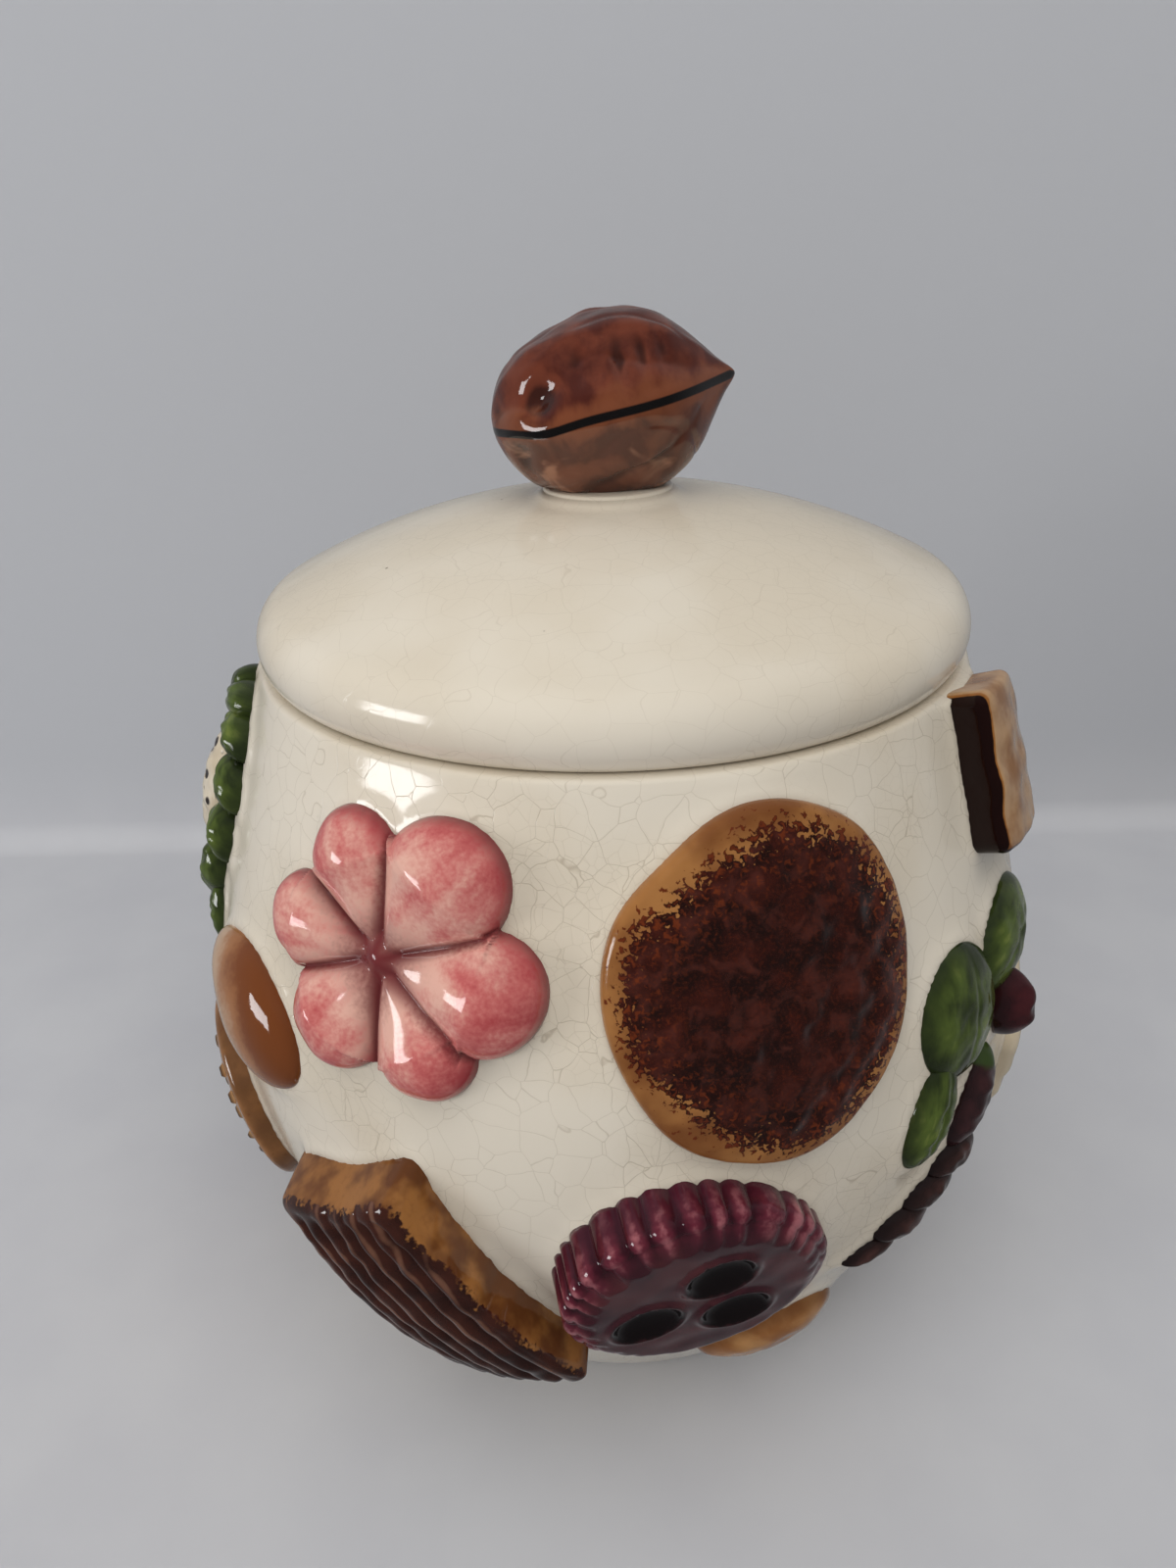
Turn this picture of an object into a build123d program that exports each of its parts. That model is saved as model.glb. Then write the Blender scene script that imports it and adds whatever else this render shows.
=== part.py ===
"""Biscuit jar: a barrel pot of cream-glazed earthenware with sprigged biscuits, and a domed lid with a walnut knob.

Millimetres, +Z up. The origin is the middle of the foot, on the surface that the jar stands on.
The middle of the jar's front faces -Y.
"""

from build123d import *
from math import atan2, cos, degrees, radians, sin, sqrt, tan
import os

os.makedirs("parts", exist_ok=True)

# ---- pot: outside of the wall, a barrel drawn from two arcs with straight ends ----
BELLY_RADIUS = 98.5
BELLY_HEIGHT = 90.0
LOWER_BEND = 108.5      # radius of the arc below the belly
UPPER_BEND = 137.0      # radius of the arc above the belly
FOOT_FLARE = 30.0       # how far the wall leans out above the foot, degrees
SHOULDER_LEAN = 17.2    # how far the wall leans in below the rim, degrees
RIM_HEIGHT = 171.0

# ---- pot: inside ----
WALL = 6.0
FLOOR = 6.0
FOOT_RING = 9.0         # width of the unglazed ring that the jar stands on
FOOT_RECESS = 3.0
MOUTH_RADIUS = 70.5
LEDGE_DEPTH = 8.0       # height of the thickened ring inside the mouth
LEDGE_SLOPE = 5.0       # height over which the wall thickens into that ring
RIM_ROUND = 1.0
FOOT_ROUND = 1.5

# ---- lid ----
LID_RADIUS = 80.0
LID_EDGE_HEIGHT = 6.4   # from the seat to the widest line
LID_EDGE_ROLL = 4.5     # how far the edge rolls in under the widest line
LID_DOME_HEIGHT = 33.0  # from the seat to the crown
LID_DOME_BEND = 165.0
LID_WALL = 5.5
FLANGE_CLEARANCE = 1.3
FLANGE_WALL = 5.5
FLANGE_DEPTH = 9.0
FLANGE_ROUND = 1.5
COLLAR_RADIUS = 14.5
COLLAR_HEIGHT = 1.5     # above the crown

# ---- walnut knob ----
NUT_RADIUS = 19.2
NUT_BLUNT_LENGTH = 25.0  # from the widest place to the blunt end
NUT_TIP_LENGTH = 28.0    # from the widest place to the tip
NUT_TIP_RADIUS = 1.0
NUT_RISE = 11.0         # the tip points up, degrees
NUT_SINK = 2.0          # how much of the round underside is cut flat for the collar

# ---- sprigs: how far each kind stands proud of the wall ----
PETAL_RISE = 8.5
ROUND_THICK = 4.6
WAFER_THICK = 10.0
FINGER_THICK = 9.0
CURRANT_BISCUIT_THICK = 7.6
GINGER_THICK = 4.5
CRACKER_THICK = 4.5
STAR_THICK = 6.0
SHELL_THICK = 7.0
TART_RISE = 5.8         # of the flat face above the wall, at the tart's middle
ALMOND_RISE = 6.8
WREATH_LEAF_RISE = 6.4
TWIST_RISE = 5.0
SPRAY_LEAF_RISE = 5.4
PLUM_RISE = 5.2
ICING_RISE = 8.8
PEANUT_RISE = 5.5
TRIM_REACH = 30.0       # how far an outline is run through the wall before it is trimmed

# ---- sprigs: the place of each one's middle: degrees round from the front towards +X, height, turn ----
PINK_MERINGUE = (-28.2, 136.2, -3.0)
BACK_MERINGUE = (119.0, 62.0, 12.0)
CHOCOLATE_ROUND = (16.9, 132.7, 0.0)
BACK_CHOCOLATE_ROUND = (160.0, 60.0, 80.0)
WAFER_SLICE = (-24.6, 60.0, -61.0)
BACK_WAFER = (206.0, 57.0, 28.0)
CHOCOLATE_FINGER = (62.0, 153.7, -7.0)
JAM_TART = (7.9, 69.0, 0.0)
BACK_TART = (245.0, 60.0, 20.0)
TOASTED_ALMOND = (-53.8, 108.5, -17.0)
BACK_ALMOND = (208.0, 128.0, 35.0)
PEANUT_HALF = (23.0, 29.5, 36.0)
LEAF_WREATH = (-81.0, 140.5, 90.0)
CURRANT_BISCUIT = (-75.5, 62.0, 0.0)
LEAF_SPRAY = (45.0, 105.0, 0.0)
CHOCOLATE_TWIST = (40.3, 65.6, 43.0)
GINGER_ROUND = (97.0, 131.0, 0.0)
SQUARE_CRACKER = (80.0, 66.0, 12.0)
ICED_RING = (133.0, 128.0, 0.0)
STAR_BISCUIT = (172.0, 132.0, 0.0)
SHELL_BISCUIT = (243.0, 132.0, 0.0)

# ---- places worked out from the sizes above ----
lower_centre = BELLY_RADIUS - LOWER_BEND
upper_centre = BELLY_RADIUS - UPPER_BEND
crown_height = RIM_HEIGHT + LID_DOME_HEIGHT
collar_top = crown_height + COLLAR_HEIGHT
flange_radius = MOUTH_RADIUS - FLANGE_CLEARANCE


def wall_radius(height):
    """Outside radius of the pot at a height."""
    low = BELLY_HEIGHT - LOWER_BEND * sin(radians(FOOT_FLARE))
    high = BELLY_HEIGHT + UPPER_BEND * sin(radians(SHOULDER_LEAN))
    if height < low:
        return wall_radius(low) - (low - height) * tan(radians(FOOT_FLARE))
    if height > high:
        return wall_radius(high) - (height - high) * tan(radians(SHOULDER_LEAN))
    if height < BELLY_HEIGHT:
        return lower_centre + sqrt(LOWER_BEND**2 - (BELLY_HEIGHT - height) ** 2)
    return upper_centre + sqrt(UPPER_BEND**2 - (height - BELLY_HEIGHT) ** 2)


def wall_lean(height):
    """How far the wall faces up (positive) or down (negative) at a height, degrees."""
    step = 0.01
    narrowing = wall_radius(height - step) - wall_radius(height + step)
    return degrees(atan2(narrowing, 2 * step))


def on_wall(around, height, turn=0.0, across=0.0, along=0.0):
    """Plane that touches the wall, with x to the right and y up as seen from outside, then turned.

    around is the angle from the front (-Y) towards +X. across and along, in mm over the wall,
    move the place to the right and up before the turn.
    """
    height = height + along * cos(radians(wall_lean(height)))
    around = radians(around) + across / wall_radius(height)
    lean = radians(wall_lean(height))
    right = Vector(cos(around), sin(around), 0)
    up = Vector(-sin(lean) * sin(around), sin(lean) * cos(around), cos(lean))
    return Plane(
        origin=(wall_radius(height) * sin(around), -wall_radius(height) * cos(around), height),
        x_dir=right * cos(radians(turn)) + up * sin(radians(turn)),
        z_dir=right.cross(up),
    )


def barrel(proud=0.0, top=RIM_HEIGHT):
    """The solid inside the outside wall, grown by proud, from the ground to a height."""
    with BuildPart() as solid:
        with BuildSketch(Plane.XZ):
            with BuildLine():
                low = CenterArc((lower_centre, BELLY_HEIGHT), LOWER_BEND + proud, -FOOT_FLARE, FOOT_FLARE)
                high = CenterArc((upper_centre, BELLY_HEIGHT), UPPER_BEND + proud, 0, SHOULDER_LEAN)
                foot = ((low @ 0).X - (low @ 0).Y * tan(radians(FOOT_FLARE)), 0)
                shoulder = ((high @ 1).X - (top - (high @ 1).Y) * tan(radians(SHOULDER_LEAN)), top)
                Polyline(low @ 0, foot, (0, 0), (0, top), shoulder, high @ 1)
            make_face()
        revolve(axis=Axis.Z)
    return solid.part


def low_dome(place, half_length, half_width, rise):
    """A low dome over an oval: a long ellipsoid of round section, sunk until rise is left above place."""
    bend = (half_width**2 + rise**2) / (2 * rise)
    middle = place.offset(rise - bend).origin
    with BuildSketch(Plane(origin=middle, x_dir=place.x_dir, z_dir=-place.y_dir)) as half:
        with BuildLine():
            arc = EllipticalCenterArc((0, 0), half_length * bend / half_width, bend, start_angle=0, arc_size=180)
            Line(arc @ 0, arc @ 1)
        make_face()
    revolve(half.sketch, axis=Axis(middle, place.x_dir))


def cut_from_pot(sheet, thick):
    """A biscuit of even thickness that follows the wall, cut to the outline drawn on sheet."""
    with BuildPart() as biscuit:
        extrude(sheet, amount=TRIM_REACH, both=True)
        add(barrel(proud=thick, top=RIM_HEIGHT + TRIM_REACH), mode=Mode.INTERSECT)
        add(pot_outside, mode=Mode.SUBTRACT)
    return biscuit.part


pot_outside = barrel()

# ---- jar body: slip-cast pot with a foot ring, a recess under the floor and a thickened mouth ----
inner_floor = FOOT_RECESS + FLOOR
slope_foot = RIM_HEIGHT - LEDGE_DEPTH - LEDGE_SLOPE
slope_foot_radius = wall_radius(slope_foot) - WALL / cos(radians(wall_lean(slope_foot)))
with BuildPart() as hollow:
    add(barrel(proud=-WALL))
    with Locations((0, 0, inner_floor)):
        Box(
            3 * BELLY_RADIUS,
            3 * BELLY_RADIUS,
            slope_foot - inner_floor,
            align=(Align.CENTER, Align.CENTER, Align.MIN),
            mode=Mode.INTERSECT,
        )
with BuildPart() as jar_body:
    add(pot_outside)
    add(hollow.part, mode=Mode.SUBTRACT)
    with BuildSketch(Plane.XZ):
        with BuildLine():
            Polyline(
                (0, slope_foot),
                (slope_foot_radius, slope_foot),
                (MOUTH_RADIUS, slope_foot + LEDGE_SLOPE),
                (MOUTH_RADIUS, RIM_HEIGHT),
                (0, RIM_HEIGHT),
                close=True,
            )
        make_face()
    revolve(axis=Axis.Z, mode=Mode.SUBTRACT)
    Cylinder(
        wall_radius(0) - FOOT_RING,
        FOOT_RECESS,
        align=(Align.CENTER, Align.CENTER, Align.MIN),
        mode=Mode.SUBTRACT,
    )
    rim_and_foot = jar_body.faces().filter_by(Plane.XY).sort_by(Axis.Z)
    fillet(rim_and_foot[-1].edges(), RIM_ROUND)
    fillet(rim_and_foot[0].edges(), FOOT_ROUND)
jar_body.part.label = "jar_body"
export_step(jar_body.part, "parts/jar_body.step")

# ---- lid: a dome with a rolled edge, a flange that drops into the mouth and a collar for the knob ----
edge_height = RIM_HEIGHT + LID_EDGE_HEIGHT
dome_centre = crown_height - LID_DOME_BEND
across_gap = edge_height - dome_centre
# The shoulder arc touches the upright at the widest line and the dome arc from inside.
shoulder_bend = (LID_DOME_BEND**2 - LID_RADIUS**2 - across_gap**2) / (2 * (LID_DOME_BEND - LID_RADIUS))
shoulder_end = degrees(atan2(across_gap, LID_RADIUS - shoulder_bend))
hollow_bend = LID_DOME_BEND - LID_WALL
hollow_radius = flange_radius - FLANGE_WALL
hollow_end = degrees(atan2(sqrt(hollow_bend**2 - hollow_radius**2), hollow_radius))
flange_foot = RIM_HEIGHT - FLANGE_DEPTH
with BuildPart() as lid:
    with BuildSketch(Plane.XZ):
        with BuildLine():
            roll = EllipticalCenterArc(
                (LID_RADIUS - LID_EDGE_ROLL, edge_height),
                LID_EDGE_ROLL,
                LID_EDGE_HEIGHT,
                start_angle=-90,
                arc_size=90,
            )
            shoulder = CenterArc((LID_RADIUS - shoulder_bend, edge_height), shoulder_bend, 0, shoulder_end)
            dome = CenterArc((0, dome_centre), LID_DOME_BEND, shoulder_end, 90 - shoulder_end)
            underside = CenterArc((0, dome_centre), hollow_bend, hollow_end, 90 - hollow_end)
            Line(dome @ 1, underside @ 1)
            Polyline(
                underside @ 0,
                (hollow_radius, flange_foot),
                (flange_radius, flange_foot),
                (flange_radius, RIM_HEIGHT),
                roll @ 0,
            )
        make_face()
    revolve(axis=Axis.Z)
    with Locations((0, 0, crown_height - LID_WALL / 2)):
        Cylinder(
            COLLAR_RADIUS,
            COLLAR_HEIGHT + LID_WALL / 2,
            align=(Align.CENTER, Align.CENTER, Align.MIN),
        )
    flange_edges = lid.faces().filter_by(Plane.XY).sort_by(Axis.Z)[0].edges()
    fillet(flange_edges, FLANGE_ROUND)
lid.part.label = "lid"
export_step(lid.part, "parts/lid.step")

# ---- walnut knob: a whole nut lying on the collar, blunt at one end and pointed at the other ----
nut_centre = collar_top + NUT_RADIUS - NUT_SINK
nut_plane = Plane(
    origin=(0, 0, nut_centre),
    x_dir=(cos(radians(NUT_RISE)), 0, sin(radians(NUT_RISE))),
    z_dir=(0, -1, 0),
)
with BuildPart() as walnut_knob:
    with BuildSketch(nut_plane):
        with BuildLine():
            blunt = EllipticalCenterArc((0, 0), NUT_BLUNT_LENGTH, NUT_RADIUS, start_angle=90, arc_size=90)
            tip = (NUT_TIP_LENGTH, NUT_TIP_RADIUS)
            Bezier(
                blunt @ 0,
                (0.58 * NUT_TIP_LENGTH, NUT_RADIUS),
                (0.72 * NUT_TIP_LENGTH, 0.45 * NUT_RADIUS),
                tip,
            )
            Polyline(tip, (tip[0], 0), blunt @ 1)
        make_face()
    revolve(axis=Axis(nut_plane.origin, nut_plane.x_dir))
    split(bisect_by=Plane.XY.offset(collar_top), keep=Keep.TOP)
walnut_knob.part.label = "walnut_knob"
export_step(walnut_knob.part, "parts/walnut_knob.step")

# ---- meringues: six piped petals round a hollow, one rose pink in front and one behind ----
PETAL_COUNT = 6
PETAL_HALF_LENGTH = 14.0
PETAL_HALF_WIDTH = 11.0
PETAL_OFFSET = 17.0     # from the middle of the meringue to the middle of a petal
HEART_RADIUS = 7.0
HEART_RISE = 5.0
heart_bend = (HEART_RADIUS**2 + HEART_RISE**2) / (2 * HEART_RISE)

for name, (around, height, turn) in (("pink_meringue", PINK_MERINGUE), ("back_meringue", BACK_MERINGUE)):
    with BuildPart() as meringue:
        for number in range(PETAL_COUNT):
            way = turn + number * 360 / PETAL_COUNT
            across = PETAL_OFFSET * cos(radians(way))
            along = PETAL_OFFSET * sin(radians(way))
            petal = on_wall(around, height, way, across, along)
            low_dome(petal, PETAL_HALF_LENGTH, PETAL_HALF_WIDTH, PETAL_RISE)
        with Locations(on_wall(around, height).offset(HEART_RISE - heart_bend)):
            Sphere(heart_bend)
        add(pot_outside, mode=Mode.SUBTRACT)
    meringue.part.label = name
    export_step(meringue.part, f"parts/{name}.step")

# ---- chocolate-topped rounds: thick oval biscuits that follow the wall ----
ROUND_HALF_WIDTH = 30.3
ROUND_HALF_HEIGHT = 35.0

for name, place in (("chocolate_round", CHOCOLATE_ROUND), ("back_chocolate_round", BACK_CHOCOLATE_ROUND)):
    with BuildSketch(on_wall(*place)) as outline:
        Ellipse(ROUND_HALF_WIDTH, ROUND_HALF_HEIGHT)
    chocolate_round = cut_from_pot(outline.sketch, ROUND_THICK)
    chocolate_round.label = name
    export_step(chocolate_round, f"parts/{name}.step")

# ---- wafers: thick rectangular slices laid aslant ----
WAFER_LENGTH = 59.0
WAFER_WIDTH = 37.0
WAFER_CORNER = 3.0

for name, place in (("wafer_slice", WAFER_SLICE), ("back_wafer", BACK_WAFER)):
    with BuildSketch(on_wall(*place)) as outline:
        RectangleRounded(WAFER_LENGTH, WAFER_WIDTH, WAFER_CORNER)
    wafer = cut_from_pot(outline.sketch, WAFER_THICK)
    wafer.label = name
    export_step(wafer, f"parts/{name}.step")

# ---- chocolate finger: an upright bar under the rim ----
FINGER_WIDTH = 23.0
FINGER_LENGTH = 34.0
FINGER_CORNER = 1.8

with BuildSketch(on_wall(*CHOCOLATE_FINGER)) as outline:
    RectangleRounded(FINGER_WIDTH, FINGER_LENGTH, FINGER_CORNER)
chocolate_finger = cut_from_pot(outline.sketch, FINGER_THICK)
chocolate_finger.label = "chocolate_finger"
export_step(chocolate_finger, "parts/chocolate_finger.step")

# ---- jam tarts: flat-faced tarts with a fluted edge and three hollows of jam ----
TART_RADIUS = 28.0
TART_LEAN = (6.0, -5.0)  # of the face, to the right and upward, degrees
FLUTE_COUNT = 34
FLUTE_RADIUS = 1.2
TART_ROUND = 3.0
HOLLOW_RADIUS = 6.2
HOLLOW_DEPTH = 2.6
HOLLOWS = ((-10.8, -4.0), (3.2, 9.2), (7.6, -6.4))

for name, place in (("jam_tart", JAM_TART), ("back_tart", BACK_TART)):
    level = on_wall(*place)
    outward = level.z_dir + level.x_dir * tan(radians(TART_LEAN[0])) + level.y_dir * tan(radians(TART_LEAN[1]))
    face = Plane(origin=level.offset(TART_RISE).origin, x_dir=level.x_dir, z_dir=outward)
    with BuildPart() as tart:
        with BuildSketch(face):
            Circle(TART_RADIUS)
        extrude(amount=-TRIM_REACH)
        fillet(tart.edges().filter_by(GeomType.CIRCLE).sort_by(Axis(face.origin, face.z_dir))[-1], TART_ROUND)
        with BuildSketch(face):
            with PolarLocations(TART_RADIUS + FLUTE_RADIUS / 3, FLUTE_COUNT):
                Circle(FLUTE_RADIUS)
        extrude(amount=-TRIM_REACH, mode=Mode.SUBTRACT)
        with BuildSketch(face):
            with Locations(*HOLLOWS):
                Circle(HOLLOW_RADIUS)
        extrude(amount=-HOLLOW_DEPTH, mode=Mode.SUBTRACT)
        add(pot_outside, mode=Mode.SUBTRACT)
    tart.part.label = name
    export_step(tart.part, f"parts/{name}.step")

# ---- nuts: a toasted almond on each side and half a peanut under the tart ----
ALMOND_HALF_LENGTH = 22.5
ALMOND_HALF_WIDTH = 15.0
PEANUT_HALF_LENGTH = 18.0
PEANUT_HALF_WIDTH = 12.0

for name, place in (("toasted_almond", TOASTED_ALMOND), ("back_almond", BACK_ALMOND)):
    with BuildPart() as almond:
        low_dome(on_wall(*place), ALMOND_HALF_LENGTH, ALMOND_HALF_WIDTH, ALMOND_RISE)
        add(pot_outside, mode=Mode.SUBTRACT)
    almond.part.label = name
    export_step(almond.part, f"parts/{name}.step")

with BuildPart() as peanut_half:
    low_dome(on_wall(*PEANUT_HALF), PEANUT_HALF_LENGTH, PEANUT_HALF_WIDTH, PEANUT_RISE)
    add(pot_outside, mode=Mode.SUBTRACT)
peanut_half.part.label = "peanut_half"
export_step(peanut_half.part, "parts/peanut_half.step")

# ---- leaf wreath: a tall ring of small leaves round a cushion of icing with dark currants ----
WREATH_HALF_HEIGHT = 23.5
WREATH_HALF_WIDTH = 12.5
WREATH_LEAVES = 12
WREATH_LEAF_HALF_LENGTH = 9.0
WREATH_LEAF_HALF_WIDTH = 5.6
WREATH_LEAF_SLANT = 28.0  # of a leaf against the ring, degrees
ICING_INSET = 3.4       # of the icing's outline inside the ring of leaf middles
# Across and along from the middle of the wreath, turn, half length, half width.
HANGING_LEAF = (10.5, -26.0, 112.0, 10.5, 4.8)
HANGING_LEAF_RISE = 4.4

with BuildPart() as iced_centre:
    low_dome(
        on_wall(*LEAF_WREATH), WREATH_HALF_HEIGHT - ICING_INSET, WREATH_HALF_WIDTH - ICING_INSET, ICING_RISE
    )
    add(pot_outside, mode=Mode.SUBTRACT)
iced_centre.part.label = "iced_centre"
export_step(iced_centre.part, "parts/iced_centre.step")

with BuildPart() as leaf_wreath:
    for number in range(WREATH_LEAVES):
        step = radians((number + 0.5) * 360 / WREATH_LEAVES)
        across = WREATH_HALF_WIDTH * cos(step)
        along = WREATH_HALF_HEIGHT * sin(step)
        ring_way = degrees(atan2(WREATH_HALF_HEIGHT * cos(step), -WREATH_HALF_WIDTH * sin(step)))
        leaf = on_wall(LEAF_WREATH[0], LEAF_WREATH[1], ring_way + WREATH_LEAF_SLANT, across, along)
        low_dome(leaf, WREATH_LEAF_HALF_LENGTH, WREATH_LEAF_HALF_WIDTH, WREATH_LEAF_RISE)
    across, along, turn, half_length, half_width = HANGING_LEAF
    leaf = on_wall(LEAF_WREATH[0], LEAF_WREATH[1], turn, across, along)
    low_dome(leaf, half_length, half_width, HANGING_LEAF_RISE)
    add(pot_outside, mode=Mode.SUBTRACT)
    add(iced_centre.part, mode=Mode.SUBTRACT)
leaf_wreath.part.label = "leaf_wreath"
export_step(leaf_wreath.part, "parts/leaf_wreath.step")

# ---- currant biscuit: a thick round at the lower left ----
CURRANT_BISCUIT_RADIUS = 25.0

with BuildSketch(on_wall(*CURRANT_BISCUIT)) as outline:
    Circle(CURRANT_BISCUIT_RADIUS)
currant_biscuit = cut_from_pot(outline.sketch, CURRANT_BISCUIT_THICK)
currant_biscuit.label = "currant_biscuit"
export_step(currant_biscuit, "parts/currant_biscuit.step")

# ---- leaf spray: two leaves and a stalk, with a glace cherry and a slice of plum ----
# Each leaf: across and along from the middle of the spray, turn, half length, half width.
SPRAY_LEAVES = (
    (-1.7, 7.0, 80.0, 15.0, 12.2),
    (22.2, 14.0, 25.0, 15.0, 8.8),
    (-10.6, -11.5, 70.0, 13.5, 6.6),
)
CHERRY_RADIUS = 5.6
CHERRY_LIFT = 3.4       # middle of the cherry above the wall
CHERRY_ACROSS = 18.0
CHERRY_ALONG = 1.0
PLUM_ACROSS = 5.6
PLUM_ALONG = -17.4
PLUM_TURN = 62.0
PLUM_HALF_LENGTH = 12.6
PLUM_HALF_WIDTH = 5.8

with BuildPart() as leaf_spray:
    for across, along, turn, half_length, half_width in SPRAY_LEAVES:
        leaf = on_wall(LEAF_SPRAY[0], LEAF_SPRAY[1], turn, across, along)
        low_dome(leaf, half_length, half_width, SPRAY_LEAF_RISE)
    add(pot_outside, mode=Mode.SUBTRACT)
leaf_spray.part.label = "leaf_spray"
export_step(leaf_spray.part, "parts/leaf_spray.step")

with BuildPart() as glace_cherry:
    with Locations(on_wall(*LEAF_SPRAY, CHERRY_ACROSS, CHERRY_ALONG).offset(CHERRY_LIFT)):
        Sphere(CHERRY_RADIUS)
    add(pot_outside, mode=Mode.SUBTRACT)
    add(leaf_spray.part, mode=Mode.SUBTRACT)
glace_cherry.part.label = "glace_cherry"
export_step(glace_cherry.part, "parts/glace_cherry.step")

with BuildPart() as plum_slice:
    plum = on_wall(LEAF_SPRAY[0], LEAF_SPRAY[1], PLUM_TURN, PLUM_ACROSS, PLUM_ALONG)
    low_dome(plum, PLUM_HALF_LENGTH, PLUM_HALF_WIDTH, PLUM_RISE)
    add(pot_outside, mode=Mode.SUBTRACT)
    add(leaf_spray.part, mode=Mode.SUBTRACT)
plum_slice.part.label = "plum_slice"
export_step(plum_slice.part, "parts/plum_slice.step")

# ---- chocolate twist: a rope of slanting beads ----
TWIST_BEADS = 4
TWIST_PITCH = 8.8
BEAD_LEAN = 30.0        # of a bead against the rope, degrees
BEAD_HALF_LENGTH = 8.8
BEAD_HALF_WIDTH = 5.2

rope_lean = CHOCOLATE_TWIST[2]
with BuildPart() as chocolate_twist:
    for number in range(TWIST_BEADS):
        run = (number - (TWIST_BEADS - 1) / 2) * TWIST_PITCH
        across = run * cos(radians(rope_lean))
        along = run * sin(radians(rope_lean))
        bead = on_wall(CHOCOLATE_TWIST[0], CHOCOLATE_TWIST[1], rope_lean - BEAD_LEAN, across, along)
        low_dome(bead, BEAD_HALF_LENGTH, BEAD_HALF_WIDTH, TWIST_RISE)
    add(pot_outside, mode=Mode.SUBTRACT)
    add(leaf_spray.part, mode=Mode.SUBTRACT)
    add(plum_slice.part, mode=Mode.SUBTRACT)
chocolate_twist.part.label = "chocolate_twist"
export_step(chocolate_twist.part, "parts/chocolate_twist.step")

# ---- ginger round: a thin plain disc ----
GINGER_RADIUS = 24.0

with BuildSketch(on_wall(*GINGER_ROUND)) as outline:
    Circle(GINGER_RADIUS)
ginger_round = cut_from_pot(outline.sketch, GINGER_THICK)
ginger_round.label = "ginger_round"
export_step(ginger_round, "parts/ginger_round.step")

# ---- square cracker: a thin square with rows of docking holes ----
CRACKER_SIDE = 43.0
CRACKER_CORNER = 4.0
DOCKING_RADIUS = 1.2
DOCKING_PITCH = 12.0
DOCKING_DEPTH = 2.5

cracker_place = on_wall(*SQUARE_CRACKER)
with BuildSketch(cracker_place) as outline:
    RectangleRounded(CRACKER_SIDE, CRACKER_SIDE, CRACKER_CORNER)
with BuildPart() as square_cracker:
    add(cut_from_pot(outline.sketch, CRACKER_THICK))
    with BuildSketch(cracker_place.offset(CRACKER_THICK - DOCKING_DEPTH)):
        with GridLocations(DOCKING_PITCH, DOCKING_PITCH, 3, 3):
            Circle(DOCKING_RADIUS)
    extrude(amount=TRIM_REACH, mode=Mode.SUBTRACT)
square_cracker.part.label = "square_cracker"
export_step(square_cracker.part, "parts/square_cracker.step")

# ---- iced ring: a ring biscuit sunk a little into the wall ----
RING_RADIUS = 17.5
RING_TUBE = 8.0
RING_SINK = 0.5

with BuildPart() as iced_ring:
    with Locations(on_wall(*ICED_RING).offset(-RING_SINK)):
        Torus(RING_RADIUS, RING_TUBE)
    add(pot_outside, mode=Mode.SUBTRACT)
iced_ring.part.label = "iced_ring"
export_step(iced_ring.part, "parts/iced_ring.step")

# ---- star biscuit: five blunt points round a drop of jam ----
STAR_POINTS = 5
STAR_RADIUS = 29.0
STAR_WAIST = 16.5
STAR_ROUND = 3.5
JAM_RADIUS = 9.0
JAM_RISE = 4.0          # above the face of the star
jam_bend = (JAM_RADIUS**2 + JAM_RISE**2) / (2 * JAM_RISE)

star_place = on_wall(*STAR_BISCUIT)
with BuildSketch(star_place) as outline:
    with BuildLine():
        corners = []
        for number in range(2 * STAR_POINTS):
            reach = STAR_RADIUS if number % 2 == 0 else STAR_WAIST
            corners.append(Vector(0, reach).rotate(Axis.Z, number * 180 / STAR_POINTS))
        Polyline(*corners, close=True)
    make_face()
    fillet(outline.vertices(), STAR_ROUND)
star_biscuit = cut_from_pot(outline.sketch, STAR_THICK)
star_biscuit.label = "star_biscuit"
export_step(star_biscuit, "parts/star_biscuit.step")

with BuildPart() as star_jam:
    with Locations(star_place.offset(STAR_THICK + JAM_RISE - jam_bend)):
        Sphere(jam_bend)
    add(pot_outside, mode=Mode.SUBTRACT)
    add(star_biscuit, mode=Mode.SUBTRACT)
star_jam.part.label = "star_jam"
export_step(star_jam.part, "parts/star_jam.step")

# ---- shell biscuit: a fan with a square heel ----
SHELL_HALF_WIDTH = 26.0
SHELL_HALF_HEIGHT = 23.0
HEEL_WIDTH = 20.0
HEEL_REACH = 25.0       # from the middle of the fan to the end of the heel

with BuildSketch(on_wall(*SHELL_BISCUIT)) as outline:
    Ellipse(SHELL_HALF_WIDTH, SHELL_HALF_HEIGHT)
    Rectangle(HEEL_WIDTH, HEEL_REACH, align=(Align.CENTER, Align.MAX))
shell_biscuit = cut_from_pot(outline.sketch, SHELL_THICK)
shell_biscuit.label = "shell_biscuit"
export_step(shell_biscuit, "parts/shell_biscuit.step")
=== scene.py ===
import bmesh
import bpy
import numpy as np
from mathutils import Matrix, Vector


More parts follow.
